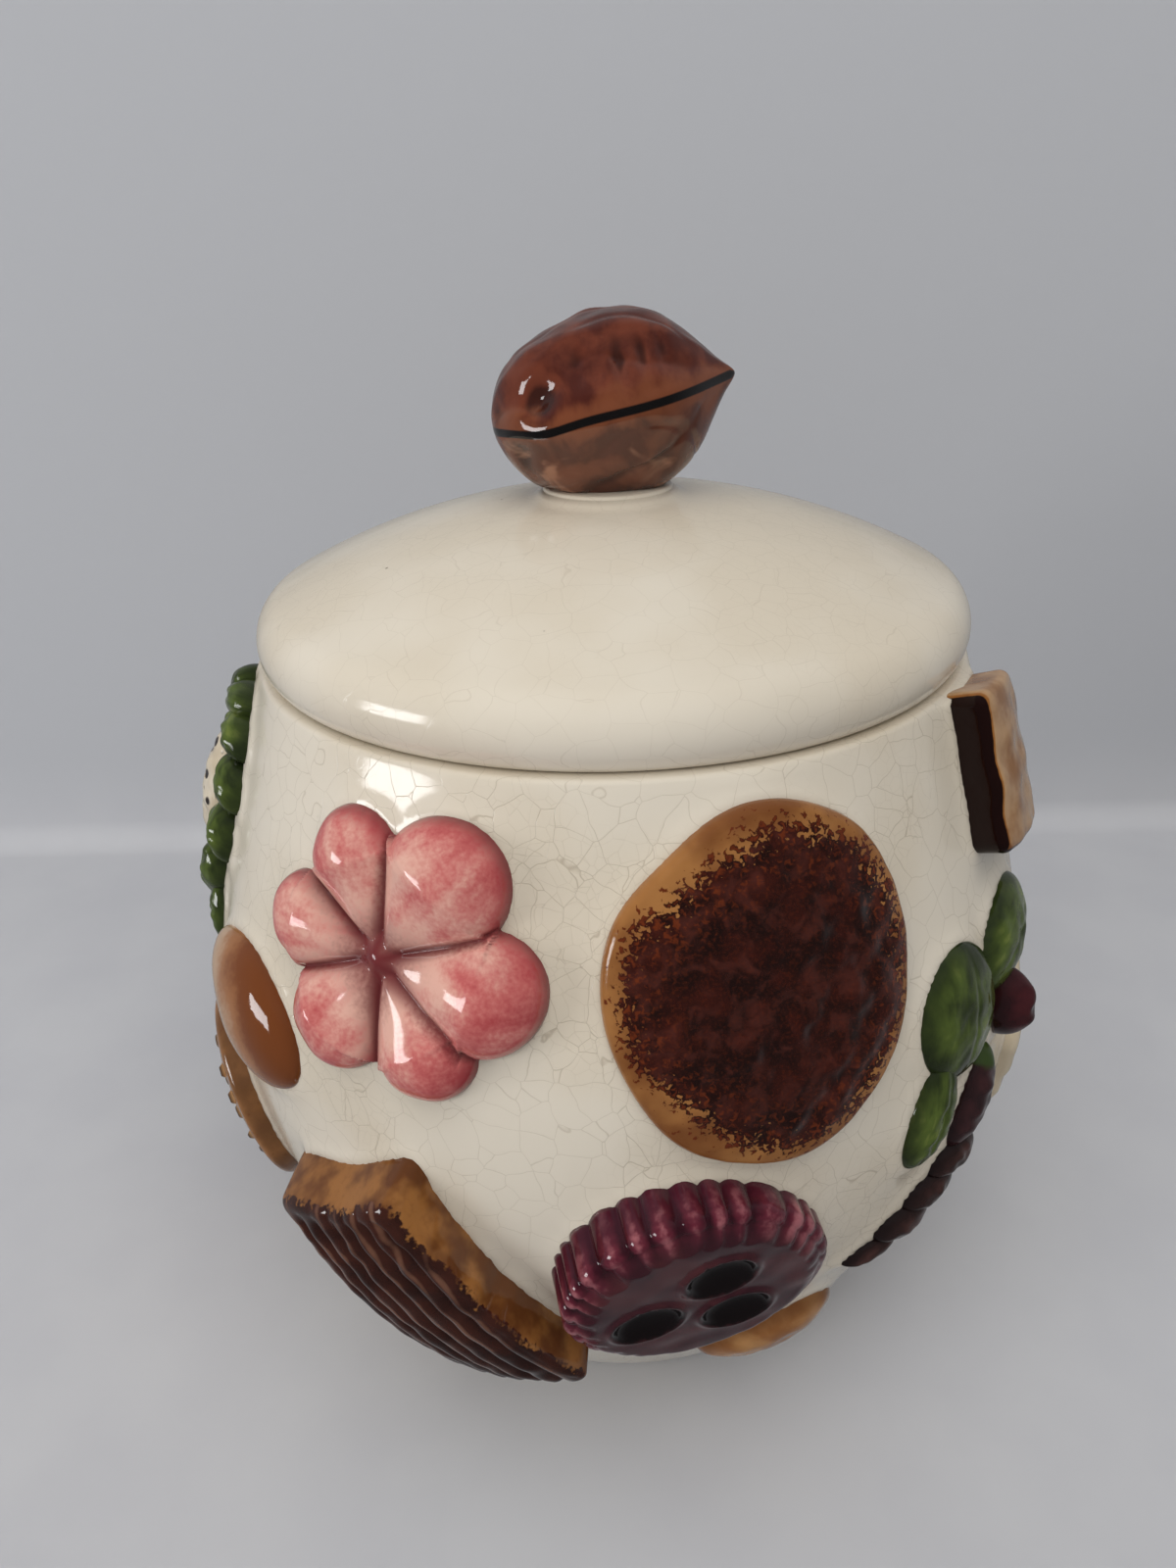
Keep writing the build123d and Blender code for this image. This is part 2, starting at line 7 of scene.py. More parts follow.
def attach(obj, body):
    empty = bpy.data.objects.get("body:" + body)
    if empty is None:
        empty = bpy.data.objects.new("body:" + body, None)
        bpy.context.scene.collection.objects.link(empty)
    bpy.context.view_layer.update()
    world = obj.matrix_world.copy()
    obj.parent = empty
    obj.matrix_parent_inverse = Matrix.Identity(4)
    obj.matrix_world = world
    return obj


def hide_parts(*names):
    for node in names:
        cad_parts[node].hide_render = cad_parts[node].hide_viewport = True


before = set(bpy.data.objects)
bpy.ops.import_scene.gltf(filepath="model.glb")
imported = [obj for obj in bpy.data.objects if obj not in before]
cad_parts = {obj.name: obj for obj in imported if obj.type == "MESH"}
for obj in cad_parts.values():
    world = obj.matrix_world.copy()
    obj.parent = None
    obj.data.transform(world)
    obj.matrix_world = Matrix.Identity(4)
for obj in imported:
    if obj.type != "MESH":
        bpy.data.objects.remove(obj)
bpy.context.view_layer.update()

# ======== jar body ========
# The pot: slip-cast earthenware, a barrel on a narrow foot, dipped in a cream glaze that has crazed all over.
# A ring inside the mouth carries the lid's flange. The foot ring is wiped clean of glaze to stand on.

RIM_HEIGHT = 0.171
BELLY_RADIUS = 0.0985
BELLY_HEIGHT = 0.090
LOWER_BEND = 0.1085
UPPER_BEND = 0.137
FOOT_FLARE = np.radians(30.0)
SHOULDER_LEAN = np.radians(17.2)
WALL = 0.006
FLOOR = 0.006
FOOT_RING = 0.009
FOOT_RECESS = 0.003
MOUTH_RADIUS = 0.0705
LEDGE_DEPTH = 0.008
LEDGE_SLOPE = 0.005
FLOOR_CORNER = 0.009    # radius inside, where the wall meets the floor
RIM_INNER_ROUND = 0.001
RIM_OUTER_ROUND = 0.0012
FOOT_OUTER_ROUND = 0.0015
FOOT_INNER_ROUND = 0.0012
RECESS_ROUND = 0.001
CRAZING_CELL = 0.0062   # across one plate of glaze between the cracks
BODY_SPOKES = 450
PROFILE_STEP = 0.0013   # between rings of the pot's outside
POLE_RING = 0.004       # radius of the ring next to the middle of a turned piece


def wall_radius(height):
    """Radius of the pot's outside at a height: an arc below the belly and one above, each run out straight."""
    low = BELLY_HEIGHT - LOWER_BEND * np.sin(FOOT_FLARE)
    high = BELLY_HEIGHT + UPPER_BEND * np.sin(SHOULDER_LEAN)
    under = BELLY_HEIGHT - np.clip(height, low, None)
    over = np.clip(height, None, high) - BELLY_HEIGHT
    below = BELLY_RADIUS - LOWER_BEND + np.sqrt(LOWER_BEND**2 - under**2)
    above = BELLY_RADIUS - UPPER_BEND + np.sqrt(UPPER_BEND**2 - over**2)
    below = below - np.clip(low - height, 0, None) * np.tan(FOOT_FLARE)
    above = above - np.clip(height - high, 0, None) * np.tan(SHOULDER_LEAN)
    return np.where(height < BELLY_HEIGHT, below, above)


def wall_slope(height):
    """How fast that radius grows with the height: its change over a fifth of a millimetre."""
    return (wall_radius(height + 1e-4) - wall_radius(height - 1e-4)) / 2e-4


def spaced(profile, step):
    """Points a step apart along a line of (radius, height) points, ends kept."""
    profile = np.asarray(profile, float)
    run = np.concatenate([[0], np.cumsum(np.hypot(*np.diff(profile, axis=0).T))])
    marks = np.linspace(0, run[-1], max(2, int(round(run[-1] / step)) + 1))
    return np.stack([np.interp(marks, run, profile[:, 0]), np.interp(marks, run, profile[:, 1])], 1)


def rounded(start, corner, end, radius, steps=6):
    """Points of the arc that rounds a corner of a profile: tangent to both sides, from one to the other."""
    corner = np.array(corner)
    back = (np.array(start) - corner) / np.linalg.norm(np.array(start) - corner)
    on = (np.array(end) - corner) / np.linalg.norm(np.array(end) - corner)
    half = np.arccos(np.clip(back @ on, -1, 1)) / 2
    middle = corner + (back + on) / np.linalg.norm(back + on) * radius / np.sin(half)
    first = corner + back * radius / np.tan(half) - middle
    last = corner + on * radius / np.tan(half) - middle
    share = np.linspace(0, 1, steps)[:, None]
    turn = np.arccos(np.clip(first @ last / radius**2, -1, 1))
    return middle + (np.sin((1 - share) * turn) * first + np.sin(share * turn) * last) / np.sin(turn)


def turned(profile, spokes):
    """Rings of a turned shape: every (radius, height) carried round +Z, counterclockwise from above."""
    around = np.linspace(0, 2 * np.pi, spokes, endpoint=False)
    radius, height = profile[:, :1], profile[:, 1:]
    return np.stack([radius * np.cos(around), radius * np.sin(around), height + 0 * around], -1)


def placed(name, data):
    """A mesh, lamp or camera put in the scene as an object of that name."""
    thing = bpy.data.objects.new(name, data)
    bpy.context.scene.collection.objects.link(thing)
    return thing


def skin(name, rings, first, last):
    """A closed mesh over rings[ring, spoke]: four-sided faces between rings, a fan to a point at each end."""
    count, spokes = rings.shape[:2]
    points = np.vstack([rings.reshape(-1, 3), first, last]).astype(np.float32)
    here = np.arange(count - 1)[:, None] * spokes + np.arange(spokes)
    beside = np.arange(count - 1)[:, None] * spokes + (np.arange(spokes) + 1) % spokes
    sides = np.stack([here, here + spokes, beside + spokes, beside], -1).reshape(-1)
    edge = np.arange(spokes)
    following = (edge + 1) % spokes
    top = np.stack([0 * edge + count * spokes, edge, following], -1).reshape(-1)
    rim = (count - 1) * spokes
    bottom = np.stack([rim + edge, 0 * edge + count * spokes + 1, rim + following], -1).reshape(-1)
    sizes = np.concatenate([np.full(len(sides) // 4, 4), np.full(2 * spokes, 3)])
    mesh = bpy.data.meshes.new(name)
    mesh.vertices.add(len(points))
    mesh.vertices.foreach_set("co", points.reshape(-1))
    mesh.loops.add(int(sizes.sum()))
    mesh.loops.foreach_set("vertex_index", np.concatenate([sides, top, bottom]).astype(np.int32))
    mesh.polygons.add(len(sizes))
    mesh.polygons.foreach_set("loop_start", np.concatenate([[0], np.cumsum(sizes)[:-1]]).astype(np.int32))
    mesh.update(calc_edges=True)
    mesh.shade_smooth()
    return placed(name, mesh)


def tint(red, green, blue):
    """A colour given as it looks on a screen, 0 to 255, as the shader's own light values."""
    seen = np.array([red, green, blue]) / 255
    return (*np.where(seen < 0.04045, seen / 12.92, ((seen + 0.055) / 1.055) ** 2.4), 1.0)


def add(tree, kind, inputs=None, **settings):
    """One shader node: settings are its own, inputs are plain values or the sockets that feed them."""
    made = tree.nodes.new("ShaderNode" + kind)
    for key, value in settings.items():
        setattr(made, key, value)
    for key, value in (inputs or {}).items():
        if isinstance(value, bpy.types.NodeSocket):
            tree.links.new(value, made.inputs[key])
        else:
            made.inputs[key].default_value = value
    return made


def layer(tree, share, under, over):
    """The colour over laid on the colour under, by a share from 0 to 1. Sockets 0, 6 and 7 of a Mix node are
    its share and its two colours."""
    made = add(tree, "Mix", data_type="RGBA")
    for socket, value in ((made.inputs[0], share), (made.inputs[6], under), (made.inputs[7], over)):
        if isinstance(value, bpy.types.NodeSocket):
            tree.links.new(value, socket)
        else:
            socket.default_value = value
    return made.outputs[2]


def between(tree, value, low, high, out_low=0.0, out_high=1.0):
    """A share that goes smoothly from out_low at the value low to out_high at the value high."""
    fields = {"Value": value, "From Min": low, "From Max": high, "To Min": out_low, "To Max": out_high}
    return add(tree, "MapRange", fields, interpolation_type="SMOOTHSTEP").outputs["Result"]


def mottled(tree, noise, low, high, thin, thick):
    """Two tones of one glaze: thin where a noise is under low, thick where it is over high."""
    return layer(tree, between(tree, noise, low, high), tint(*thin), tint(*thick))


def maths(tree, operation, *values):
    """A sum on one to three values or sockets."""
    return add(tree, "Math", dict(enumerate(values)), operation=operation).outputs[0]


def effect(name, output, **inputs):
    """An empty shader node group with one number put out; gives the group, its inputs and its output. Each
    input is named with its kind of socket."""
    group = bpy.data.node_groups.new(name, "ShaderNodeTree")
    for socket, kind in inputs.items():
        group.interface.new_socket(socket, in_out="INPUT", socket_type="NodeSocket" + kind)
    group.interface.new_socket(output, in_out="OUTPUT", socket_type="NodeSocketFloat")
    return group, group.nodes.new("NodeGroupInput").outputs, group.nodes.new("NodeGroupOutput").inputs[output]


def grain_group():
    """Cloudy noise on the piece's own coordinates, its scale one over the size of a patch."""
    kinds = {"Size": "Float", "Detail": "Float", "Distortion": "Float", "Stretch": "Vector"}
    group, given, end = effect("grain", "Grain", **kinds)
    place = add(group, "TexCoord").outputs["Object"]
    place = add(group, "Mapping", {"Vector": place, "Scale": given["Stretch"]}).outputs["Vector"]
    fields = {"Vector": place, "Scale": maths(group, "DIVIDE", 1.0, given["Size"])}
    fields |= {"Detail": given["Detail"], "Distortion": given["Distortion"]}
    group.links.new(add(group, "TexNoise", fields).outputs["Fac"], end)
    return group


GRAIN = grain_group()


def grain(tree, size, detail=3.0, stretch=(1.0, 1.0, 1.0), distortion=0.0):
    """Cloudy noise, 0 to 1, with patches about one size across, drawn out along an axis if stretched."""
    fields = {"Size": size, "Detail": detail, "Distortion": distortion, "Stretch": stretch}
    return add(tree, "Group", fields, node_tree=GRAIN).outputs["Grain"]


def crazing_group():
    """The net of fine cracks in the glaze: edges of a warped cell pattern, stronger in some patches."""
    group, given, end = effect("crazing", "Crack", Cell="Float")
    place = add(group, "TexCoord").outputs["Object"]
    bend = add(group, "TexNoise", {"Vector": place, "Scale": 90.0, "Detail": 2.0}).outputs["Color"]
    bend = add(group, "VectorMath", {0: bend, 1: (0.5, 0.5, 0.5)}, operation="SUBTRACT").outputs[0]
    bend = add(group, "VectorMath", {0: bend, "Scale": 0.005}, operation="SCALE").outputs[0]
    place = add(group, "VectorMath", {0: place, 1: bend}, operation="ADD").outputs[0]
    cracks = []
    for share, width in ((1.0, 0.013), (2.0, 0.016)):
        fields = {"Vector": place, "Scale": maths(group, "DIVIDE", share, given["Cell"])}
        edge = add(group, "TexVoronoi", fields, feature="DISTANCE_TO_EDGE").outputs["Distance"]
        cracks.append(between(group, edge, 0.0, width, 1.0, 0.0))
    patch = add(group, "TexNoise", {"Vector": place, "Scale": 28.0, "Detail": 1.0}).outputs["Fac"]
    broad = maths(group, "MULTIPLY", cracks[0], between(group, patch, 0.34, 0.6, 0.65, 1.0))
    fine = maths(group, "MULTIPLY", cracks[1], between(group, patch, 0.42, 0.62, 0.05, 0.6))
    group.links.new(maths(group, "MAXIMUM", broad, fine), end)
    return group


CRAZING = crazing_group()


def glaze(name, roughness):
    """A fired glossy glaze with nothing in it yet: gives the material and its tree."""
    material = bpy.data.materials.new(name)
    material.use_nodes = True
    shader = material.node_tree.nodes["Principled BSDF"]
    shader.inputs["Roughness"].default_value = roughness
    shader.inputs["IOR"].default_value = 1.53
    return material, material.node_tree


def fired(material, colour, height, distance):
    """The glaze with its colour, and its height as a bump that is a distance deep."""
    tree = material.node_tree
    shader = tree.nodes["Principled BSDF"]
    tree.links.new(colour, shader.inputs["Base Color"])
    bump = add(tree, "Bump", {"Height": height, "Distance": distance, "Strength": 1.0})
    tree.links.new(bump.outputs["Normal"], shader.inputs["Normal"])
    return material


def dress(piece, material, body, slot, *nodes):
    """Gives a piece its glaze, its body and the CAD nodes that it stands for, which it hides; slot is not used.
    """
    piece.data.materials.append(material)
    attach(piece, body)
    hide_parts(*nodes)


def cream_glaze():
    """Warm cream, a little browner where it runs thin and in the cracks, with a few pinholes."""
    material, tree = glaze("cream_glaze", roughness=0.12)
    colour = mottled(tree, grain(tree, 0.035, detail=2.0), 0.35, 0.65, (228, 219, 203), (221, 210, 191))
    place = add(tree, "TexCoord").outputs["Object"]
    high = add(tree, "SeparateXYZ", {0: place}).outputs["Z"]
    # The cracks are fainter on the lid.
    net = add(tree, "Group", {"Cell": CRAZING_CELL}, node_tree=CRAZING).outputs["Crack"]
    crack = maths(tree, "MULTIPLY", net, between(tree, high, 0.165, 0.180, 1.0, 0.4))
    colour = layer(tree, maths(tree, "MULTIPLY", crack, 0.42), colour, tint(148, 130, 106))
    dots = add(tree, "TexVoronoi", {"Vector": place, "Scale": 90.0}, feature="F1")
    lone = add(tree, "SeparateColor", {"Color": dots.outputs["Color"]}).outputs["Red"]
    pinhole = maths(tree, "MULTIPLY", between(tree, dots.outputs["Distance"], 0.018, 0.04, 1.0, 0.0),
                    between(tree, lone, 0.80, 0.84))
    colour = layer(tree, maths(tree, "MULTIPLY", pinhole, 0.75), colour, tint(88, 70, 52))
    wave = grain(tree, 0.012, detail=1.0)
    height = maths(tree, "SUBTRACT", wave, maths(tree, "MULTIPLY", maths(tree, "ADD", crack, pinhole), 0.26))
    return fired(material, colour, height, 0.00012)


CREAM = cream_glaze()

inner_floor = FOOT_RECESS + FLOOR
slope_foot = RIM_HEIGHT - LEDGE_DEPTH - LEDGE_SLOPE


def inner_radius(height):
    """Radius of the pot's inside: the outside less the wall, taken square to the wall."""
    return wall_radius(height) - WALL * np.sqrt(1 + wall_slope(height) ** 2)


inside_heights = np.linspace(inner_floor, slope_foot, 60)
inside = np.stack([inner_radius(inside_heights), inside_heights], 1)
floor_corner = rounded((0, inner_floor), inside[0], inside[4], FLOOR_CORNER)
mouth_foot = (MOUTH_RADIUS, slope_foot + LEDGE_SLOPE)
ledge = [inside[-1], mouth_foot, (MOUTH_RADIUS, RIM_HEIGHT - RIM_INNER_ROUND)]
outer_heights = np.arange(RIM_HEIGHT - RIM_OUTER_ROUND, FOOT_OUTER_ROUND, -PROFILE_STEP)
outside = np.stack([wall_radius(outer_heights), outer_heights], 1)
foot_radius = float(wall_radius(0.0))
recess_radius = foot_radius - FOOT_RING
rim_corner = (float(wall_radius(RIM_HEIGHT)), RIM_HEIGHT)
rim_middle = ((MOUTH_RADIUS + rim_corner[0]) / 2, RIM_HEIGHT)
foot_middle = ((foot_radius + recess_radius) / 2, 0)
rim_inner = rounded(mouth_foot, (MOUTH_RADIUS, RIM_HEIGHT), rim_middle, RIM_INNER_ROUND, 4)
rim_outer = rounded(rim_middle, rim_corner, outside[6], RIM_OUTER_ROUND, 5)
foot_outer = rounded(outside[-6], (foot_radius, 0), foot_middle, FOOT_OUTER_ROUND, 5)
foot_inner = rounded(foot_middle, (recess_radius, 0), (recess_radius, FOOT_RECESS), FOOT_INNER_ROUND, 4)
recess = rounded((recess_radius, 0), (recess_radius, FOOT_RECESS), (0, FOOT_RECESS), RECESS_ROUND, 4)
body_profile = np.vstack([
    spaced([(POLE_RING, inner_floor), floor_corner[0]], 0.006),
    floor_corner[1:],
    spaced(inside[inside[:, 1] > floor_corner[-1, 1] + 0.001], 0.004),
    spaced(ledge, 0.0016)[1:],
    rim_inner,
    rim_outer,
    outside[outside[:, 1] < rim_outer[-1, 1] - 0.0005],
    foot_outer,
    foot_inner,
    recess,
    spaced([recess[-1], (POLE_RING, FOOT_RECESS)], 0.008)[1:],
])
body_rings = turned(body_profile, BODY_SPOKES)
floor_middle = (0, 0, inner_floor)
recess_middle = (0, 0, FOOT_RECESS)
jar_body = skin("jar_body_glazed", body_rings, floor_middle, recess_middle)
dress(jar_body, CREAM, "jar", "cream_glaze", "jar_body")

# ======== lid ========
# One slip-cast piece in the same cream glaze: a low dome with a full rolled edge, a flange under it that
# drops into the mouth, and a low collar on the crown for the knob.

LID_RADIUS = 0.080
LID_EDGE_HEIGHT = 0.0064
LID_EDGE_ROLL = 0.0045
LID_DOME_HEIGHT = 0.033
LID_DOME_BEND = 0.165
LID_WALL = 0.0055
FLANGE_RADIUS = 0.0692
FLANGE_WALL = 0.0055
FLANGE_DEPTH = 0.009
COLLAR_RADIUS = 0.0145
COLLAR_HEIGHT = 0.0015
COLLAR_SWEEP = 0.0035    # how wide the glaze fills the corner round the collar
COLLAR_ROUND = 0.0008
FLANGE_ROUND = 0.0015
SEAT_RADIUS = 0.0725     # where the flat ring under the lid meets its rolled edge
LID_SPOKES = 360

crown = RIM_HEIGHT + LID_DOME_HEIGHT
collar_top = crown + COLLAR_HEIGHT
edge_height = RIM_HEIGHT + LID_EDGE_HEIGHT
dome_centre = crown - LID_DOME_BEND
gap = edge_height - dome_centre
shoulder_bend = (LID_DOME_BEND**2 - LID_RADIUS**2 - gap**2) / (2 * (LID_DOME_BEND - LID_RADIUS))
shoulder_end = np.arctan2(gap, LID_RADIUS - shoulder_bend)


def arc(middle, radius, start, end, steps):
    """Points of an arc in a profile, from one angle to another, counted from straight out."""
    turn = np.linspace(start, end, steps)
    return np.stack([middle[0] + radius * np.cos(turn), middle[1] + radius * np.sin(turn)], 1)


dome = arc((0, dome_centre), LID_DOME_BEND, np.pi / 2 - 0.02, shoulder_end, 60)
swell = COLLAR_HEIGHT * np.clip(1 - (dome[:, 0] - COLLAR_RADIUS) / COLLAR_SWEEP, 0, 1) ** 2
dome[:, 1] += np.where(dome[:, 0] < COLLAR_RADIUS, 0, swell)
dome = dome[dome[:, 0] > COLLAR_RADIUS]
shoulder = arc((LID_RADIUS - shoulder_bend, edge_height), shoulder_bend, shoulder_end, 0, 16)
roll_turn = np.linspace(0, -np.pi / 2, 12)[:, None]
roll = np.hstack([
    LID_RADIUS - LID_EDGE_ROLL + LID_EDGE_ROLL * np.cos(roll_turn),
    edge_height + LID_EDGE_HEIGHT * np.sin(roll_turn),
])
hollow_bend = LID_DOME_BEND - LID_WALL
hollow_radius = FLANGE_RADIUS - FLANGE_WALL
hollow_end = np.arccos(hollow_radius / hollow_bend)
flange_foot = RIM_HEIGHT - FLANGE_DEPTH
flange_corners = (FLANGE_RADIUS, flange_foot), (hollow_radius, flange_foot)
lid_profile = np.vstack([
    [(POLE_RING, collar_top), (0.009, collar_top)],
    rounded((0, collar_top), (COLLAR_RADIUS, collar_top), (COLLAR_RADIUS, crown), COLLAR_ROUND, 4),
    dome,
    shoulder[1:],
    roll[1:],
    [(SEAT_RADIUS, RIM_HEIGHT), (FLANGE_RADIUS + 0.0004, RIM_HEIGHT)],
    [(FLANGE_RADIUS, RIM_HEIGHT - 0.0006), (FLANGE_RADIUS, RIM_HEIGHT - 0.004)],
    rounded((FLANGE_RADIUS, RIM_HEIGHT), flange_corners[0], flange_corners[1], FLANGE_ROUND),
    rounded(flange_corners[0], flange_corners[1], (hollow_radius, crown), FLANGE_ROUND),
    [(hollow_radius, RIM_HEIGHT)],
    arc((0, dome_centre), hollow_bend, hollow_end, np.pi / 2 - 0.03, 24),
])
lid_rings = turned(lid_profile, LID_SPOKES)
lid = skin("lid_glazed", lid_rings, (0, 0, collar_top), (0, 0, dome_centre + hollow_bend))
dress(lid, CREAM, "lid", "cream_glaze", "lid")

# ======== walnut knob ========
# A whole walnut cast in two halves: a raised seam with a painted black line round it, a trough with deep pits
# above the seam and slack wrinkles everywhere else, under a runny red-brown glaze.

NUT_RADIUS = 0.0192
NUT_BLUNT_LENGTH = 0.0250    # from the widest place to the blunt end
NUT_TIP_LENGTH = 0.0280      # from the widest place to the tip
NUT_RISE = np.radians(11.0)
NUT_SINK = 0.0020
SEAM_LINE = 0.00080          # half the width of the painted line
SEAM_DROP = 0.065            # how far the seam dips near the blunt end, as a turn
NUT_SPOKES = 396
NUT_RINGS = 204
# Each pit: place along the nut, degrees above the seam on the near side (over 90: on the far side, below
# nought: under the seam), half length along, half length round, depth.
PITS = (
    (-0.0128, 21, 0.0030, 0.0036, 0.0026),
    (-0.0185, 40, 0.0026, 0.0034, 0.0010),
    (-0.0225, 20, 0.0014, 0.0042, 0.0010),
    (-0.0040, 36, 0.0017, 0.0052, 0.0008),
    (0.0000, 25, 0.0015, 0.0036, 0.0007),
    (0.0045, 31, 0.0014, 0.0058, 0.0013),
    (0.0093, 35, 0.0012, 0.0046, 0.0010),
    (0.0135, 40, 0.0013, 0.0036, 0.0008),
    (-0.0190, -30, 0.0024, 0.0050, 0.0016),
    (-0.0040, -50, 0.0050, 0.0024, 0.0007),
    (0.0100, -46, 0.0030, 0.0030, 0.0008),
    (-0.0130, 152, 0.0030, 0.0038, 0.0020),
    (-0.0040, 146, 0.0016, 0.0048, 0.0010),
    (0.0020, 148, 0.0014, 0.0050, 0.0012),
    (0.0080, 149, 0.0013, 0.0042, 0.0010),
    (0.0130, 147, 0.0012, 0.0032, 0.0009),
    (0.0000, 215, 0.0040, 0.0040, 0.0010),
)
nut_height = collar_top + NUT_RADIUS - NUT_SINK


def unevenness(points, size, seed, waves=24):
    """Smooth unevenness of about -1 to 1: many sine waves about one size long, in seeded random directions."""
    rng = np.random.default_rng(seed)
    ways = rng.normal(size=(waves, points.shape[-1]))
    ways /= np.linalg.norm(ways, axis=1)[:, None] * size * rng.uniform(0.7, 1.5, (waves, 1))
    phases = rng.uniform(0, 2 * np.pi, waves)
    return np.sin(2 * np.pi * points @ ways.T + phases).sum(-1) / np.sqrt(waves / 2) / 1.6


def paint(piece, name, values):
    """Keeps one number for each point of the mesh, for the glaze to read where the brush went."""
    kept = piece.data.attributes.new(name, "FLOAT", "POINT")
    kept.data.foreach_set("value", np.ascontiguousarray(values, np.float32).reshape(-1))


def brushed(tree, name):
    """The number kept at each point of the mesh under a name."""
    return add(tree, "Attribute", attribute_name=name).outputs["Fac"]


def wrapped(angle):
    """An angle brought to between half a turn back and half a turn on."""
    return (angle + np.pi) % (2 * np.pi) - np.pi


def nut_reach(along):
    """Radius of the plain nut: a quarter oval to the blunt end; to the tip, one less the cube of the share of
    the way, to the power of 1.45, which pinches it into a beak with a rounded end."""
    blunt = np.sqrt(np.clip(1 - (along / NUT_BLUNT_LENGTH) ** 2, 0, 1))
    share = np.clip(along / NUT_TIP_LENGTH, 0, 1)
    beak = (1 - share**3) ** 1.45 + 0.30 * share**8 * np.sqrt(1 - share)
    return NUT_RADIUS * np.where(along < 0, blunt, beak)


nut_turn = np.linspace(0, 2 * np.pi, NUT_SPOKES, endpoint=False)[None, :]
nut_way = np.linspace(0.0, np.pi, NUT_RINGS)[1:-1, None]
nut_along = np.where(nut_way < np.pi / 2, -NUT_BLUNT_LENGTH, NUT_TIP_LENGTH) * np.abs(np.cos(nut_way)) ** 0.85
nut_radius = nut_reach(nut_along) * (1 - 0.035 * np.sin(nut_turn))
# The seam runs along both sides, at turns 0 and pi; it dips near the blunt end. seam_off is the distance from
# it along the skin.
dip = SEAM_DROP * np.exp(-((nut_along + 0.014) / 0.007) ** 2)
seam_turn = np.minimum(np.abs(nut_turn - np.pi - dip), np.minimum(nut_turn, 2 * np.pi - nut_turn))
seam_off = seam_turn * np.maximum(nut_radius, 0.0015)
unit = np.stack([nut_along + 0 * nut_turn, nut_radius * np.cos(nut_turn), nut_radius * np.sin(nut_turn)], -1)
fade = np.clip(nut_radius / NUT_RADIUS, 0, 1)
upper = np.clip(np.sin(nut_turn) * 6 + 0.5, 0, 1) + 0 * nut_radius
# A keel carries the seam. Above it a crest runs from end to end, with a trough between the two, and a
# shallower trough runs below it.
up_turn = np.degrees(np.arcsin(np.sin(nut_turn)))
keel = 0.0007 * np.exp(-(seam_off / 0.0026) ** 2)
trough = -0.0013 * np.exp(-((up_turn - 27) / 13) ** 2) - 0.0007 * np.exp(-((up_turn + 24) / 12) ** 2)
crest = 0.0009 * np.exp(-((up_turn - 57) / 9) ** 2)
folds = 0.0008 * unevenness(unit * (0.7, 1.1, 1.1), 0.020, 11) + 0.00025 * unevenness(unit, 0.009, 14)
veins = -0.00035 * np.exp(-(unevenness(unit * (0.6, 1.2, 1.2), 0.021, 12) / 0.16) ** 2)
pits = 0 * nut_radius
for pit_along, pit_turn, pit_long, pit_round, pit_depth in PITS:
    off_turn = wrapped(nut_turn - np.pi + np.radians(pit_turn))
    reach = ((nut_along - pit_along) / pit_long) ** 2 + (off_turn * nut_radius / pit_round) ** 2
    pits = pits - pit_depth * np.exp(-reach)
calm = np.clip(seam_off / 0.0045, 0.08, 1)
shape = trough + crest + pits
nut_skin = nut_radius + keel * fade**0.3 + (shape + (folds + veins) * calm) * fade
nut_local = np.stack([nut_along + 0 * nut_turn, nut_skin * np.cos(nut_turn), nut_skin * np.sin(nut_turn)], -1)
# The long axis lies along +X and rises with the tip.
spin = np.array(Matrix.Rotation(-NUT_RISE, 3, "Y"))
nut_middle = np.array([0, 0, nut_height])
nut_points = nut_local @ spin.T + nut_middle
nut_ends = np.array([[-NUT_BLUNT_LENGTH, 0, 0], [NUT_TIP_LENGTH, 0, 0]]) @ spin.T + nut_middle
nut_points[..., 2] = np.maximum(nut_points[..., 2], collar_top - 0.0006)
walnut = skin("walnut_knob_glazed", nut_points[:, ::-1], nut_ends[0], nut_ends[1])
hollow = (pits + veins * calm + 0.5 * folds) / 0.0012
for kept_as, values in (("seam", seam_off + 0 * nut_skin), ("hollow", hollow), ("upper", upper)):
    paint(walnut, kept_as, np.append(values[:, ::-1].reshape(-1), [0, 0]))


def ragged_group():
    """A mask with a torn border, as a dry brush leaves it: the mask, plus an amount times how far a noise is
    from its middle."""
    group, given, end = effect("ragged", "Mask", Mask="Float", Noise="Float", Middle="Float", Amount="Float")
    push = maths(group, "SUBTRACT", given["Noise"], given["Middle"])
    push = maths(group, "MULTIPLY", push, given["Amount"])
    group.links.new(maths(group, "ADD", given["Mask"], push), end)
    return group


RAGGED = ragged_group()


def ragged(tree, mask, noise, amount, middle=0.5):
    """A mask torn by a noise: it moves by the amount times how far the noise is from its middle."""
    fields = {"Mask": mask, "Noise": noise, "Middle": middle, "Amount": amount}
    return add(tree, "Group", fields, node_tree=RAGGED).outputs["Mask"]


def coats(tree, colour, *laid):
    """Coats of glaze over a colour, in turn. Each is a mask, the mask's values where its share starts and
    stops changing, its share at the first and at the second, and its own colour."""
    for mask, low, high, first, second, over in laid:
        colour = layer(tree, between(tree, mask, low, high, first, second), colour, tint(*over))
    return colour


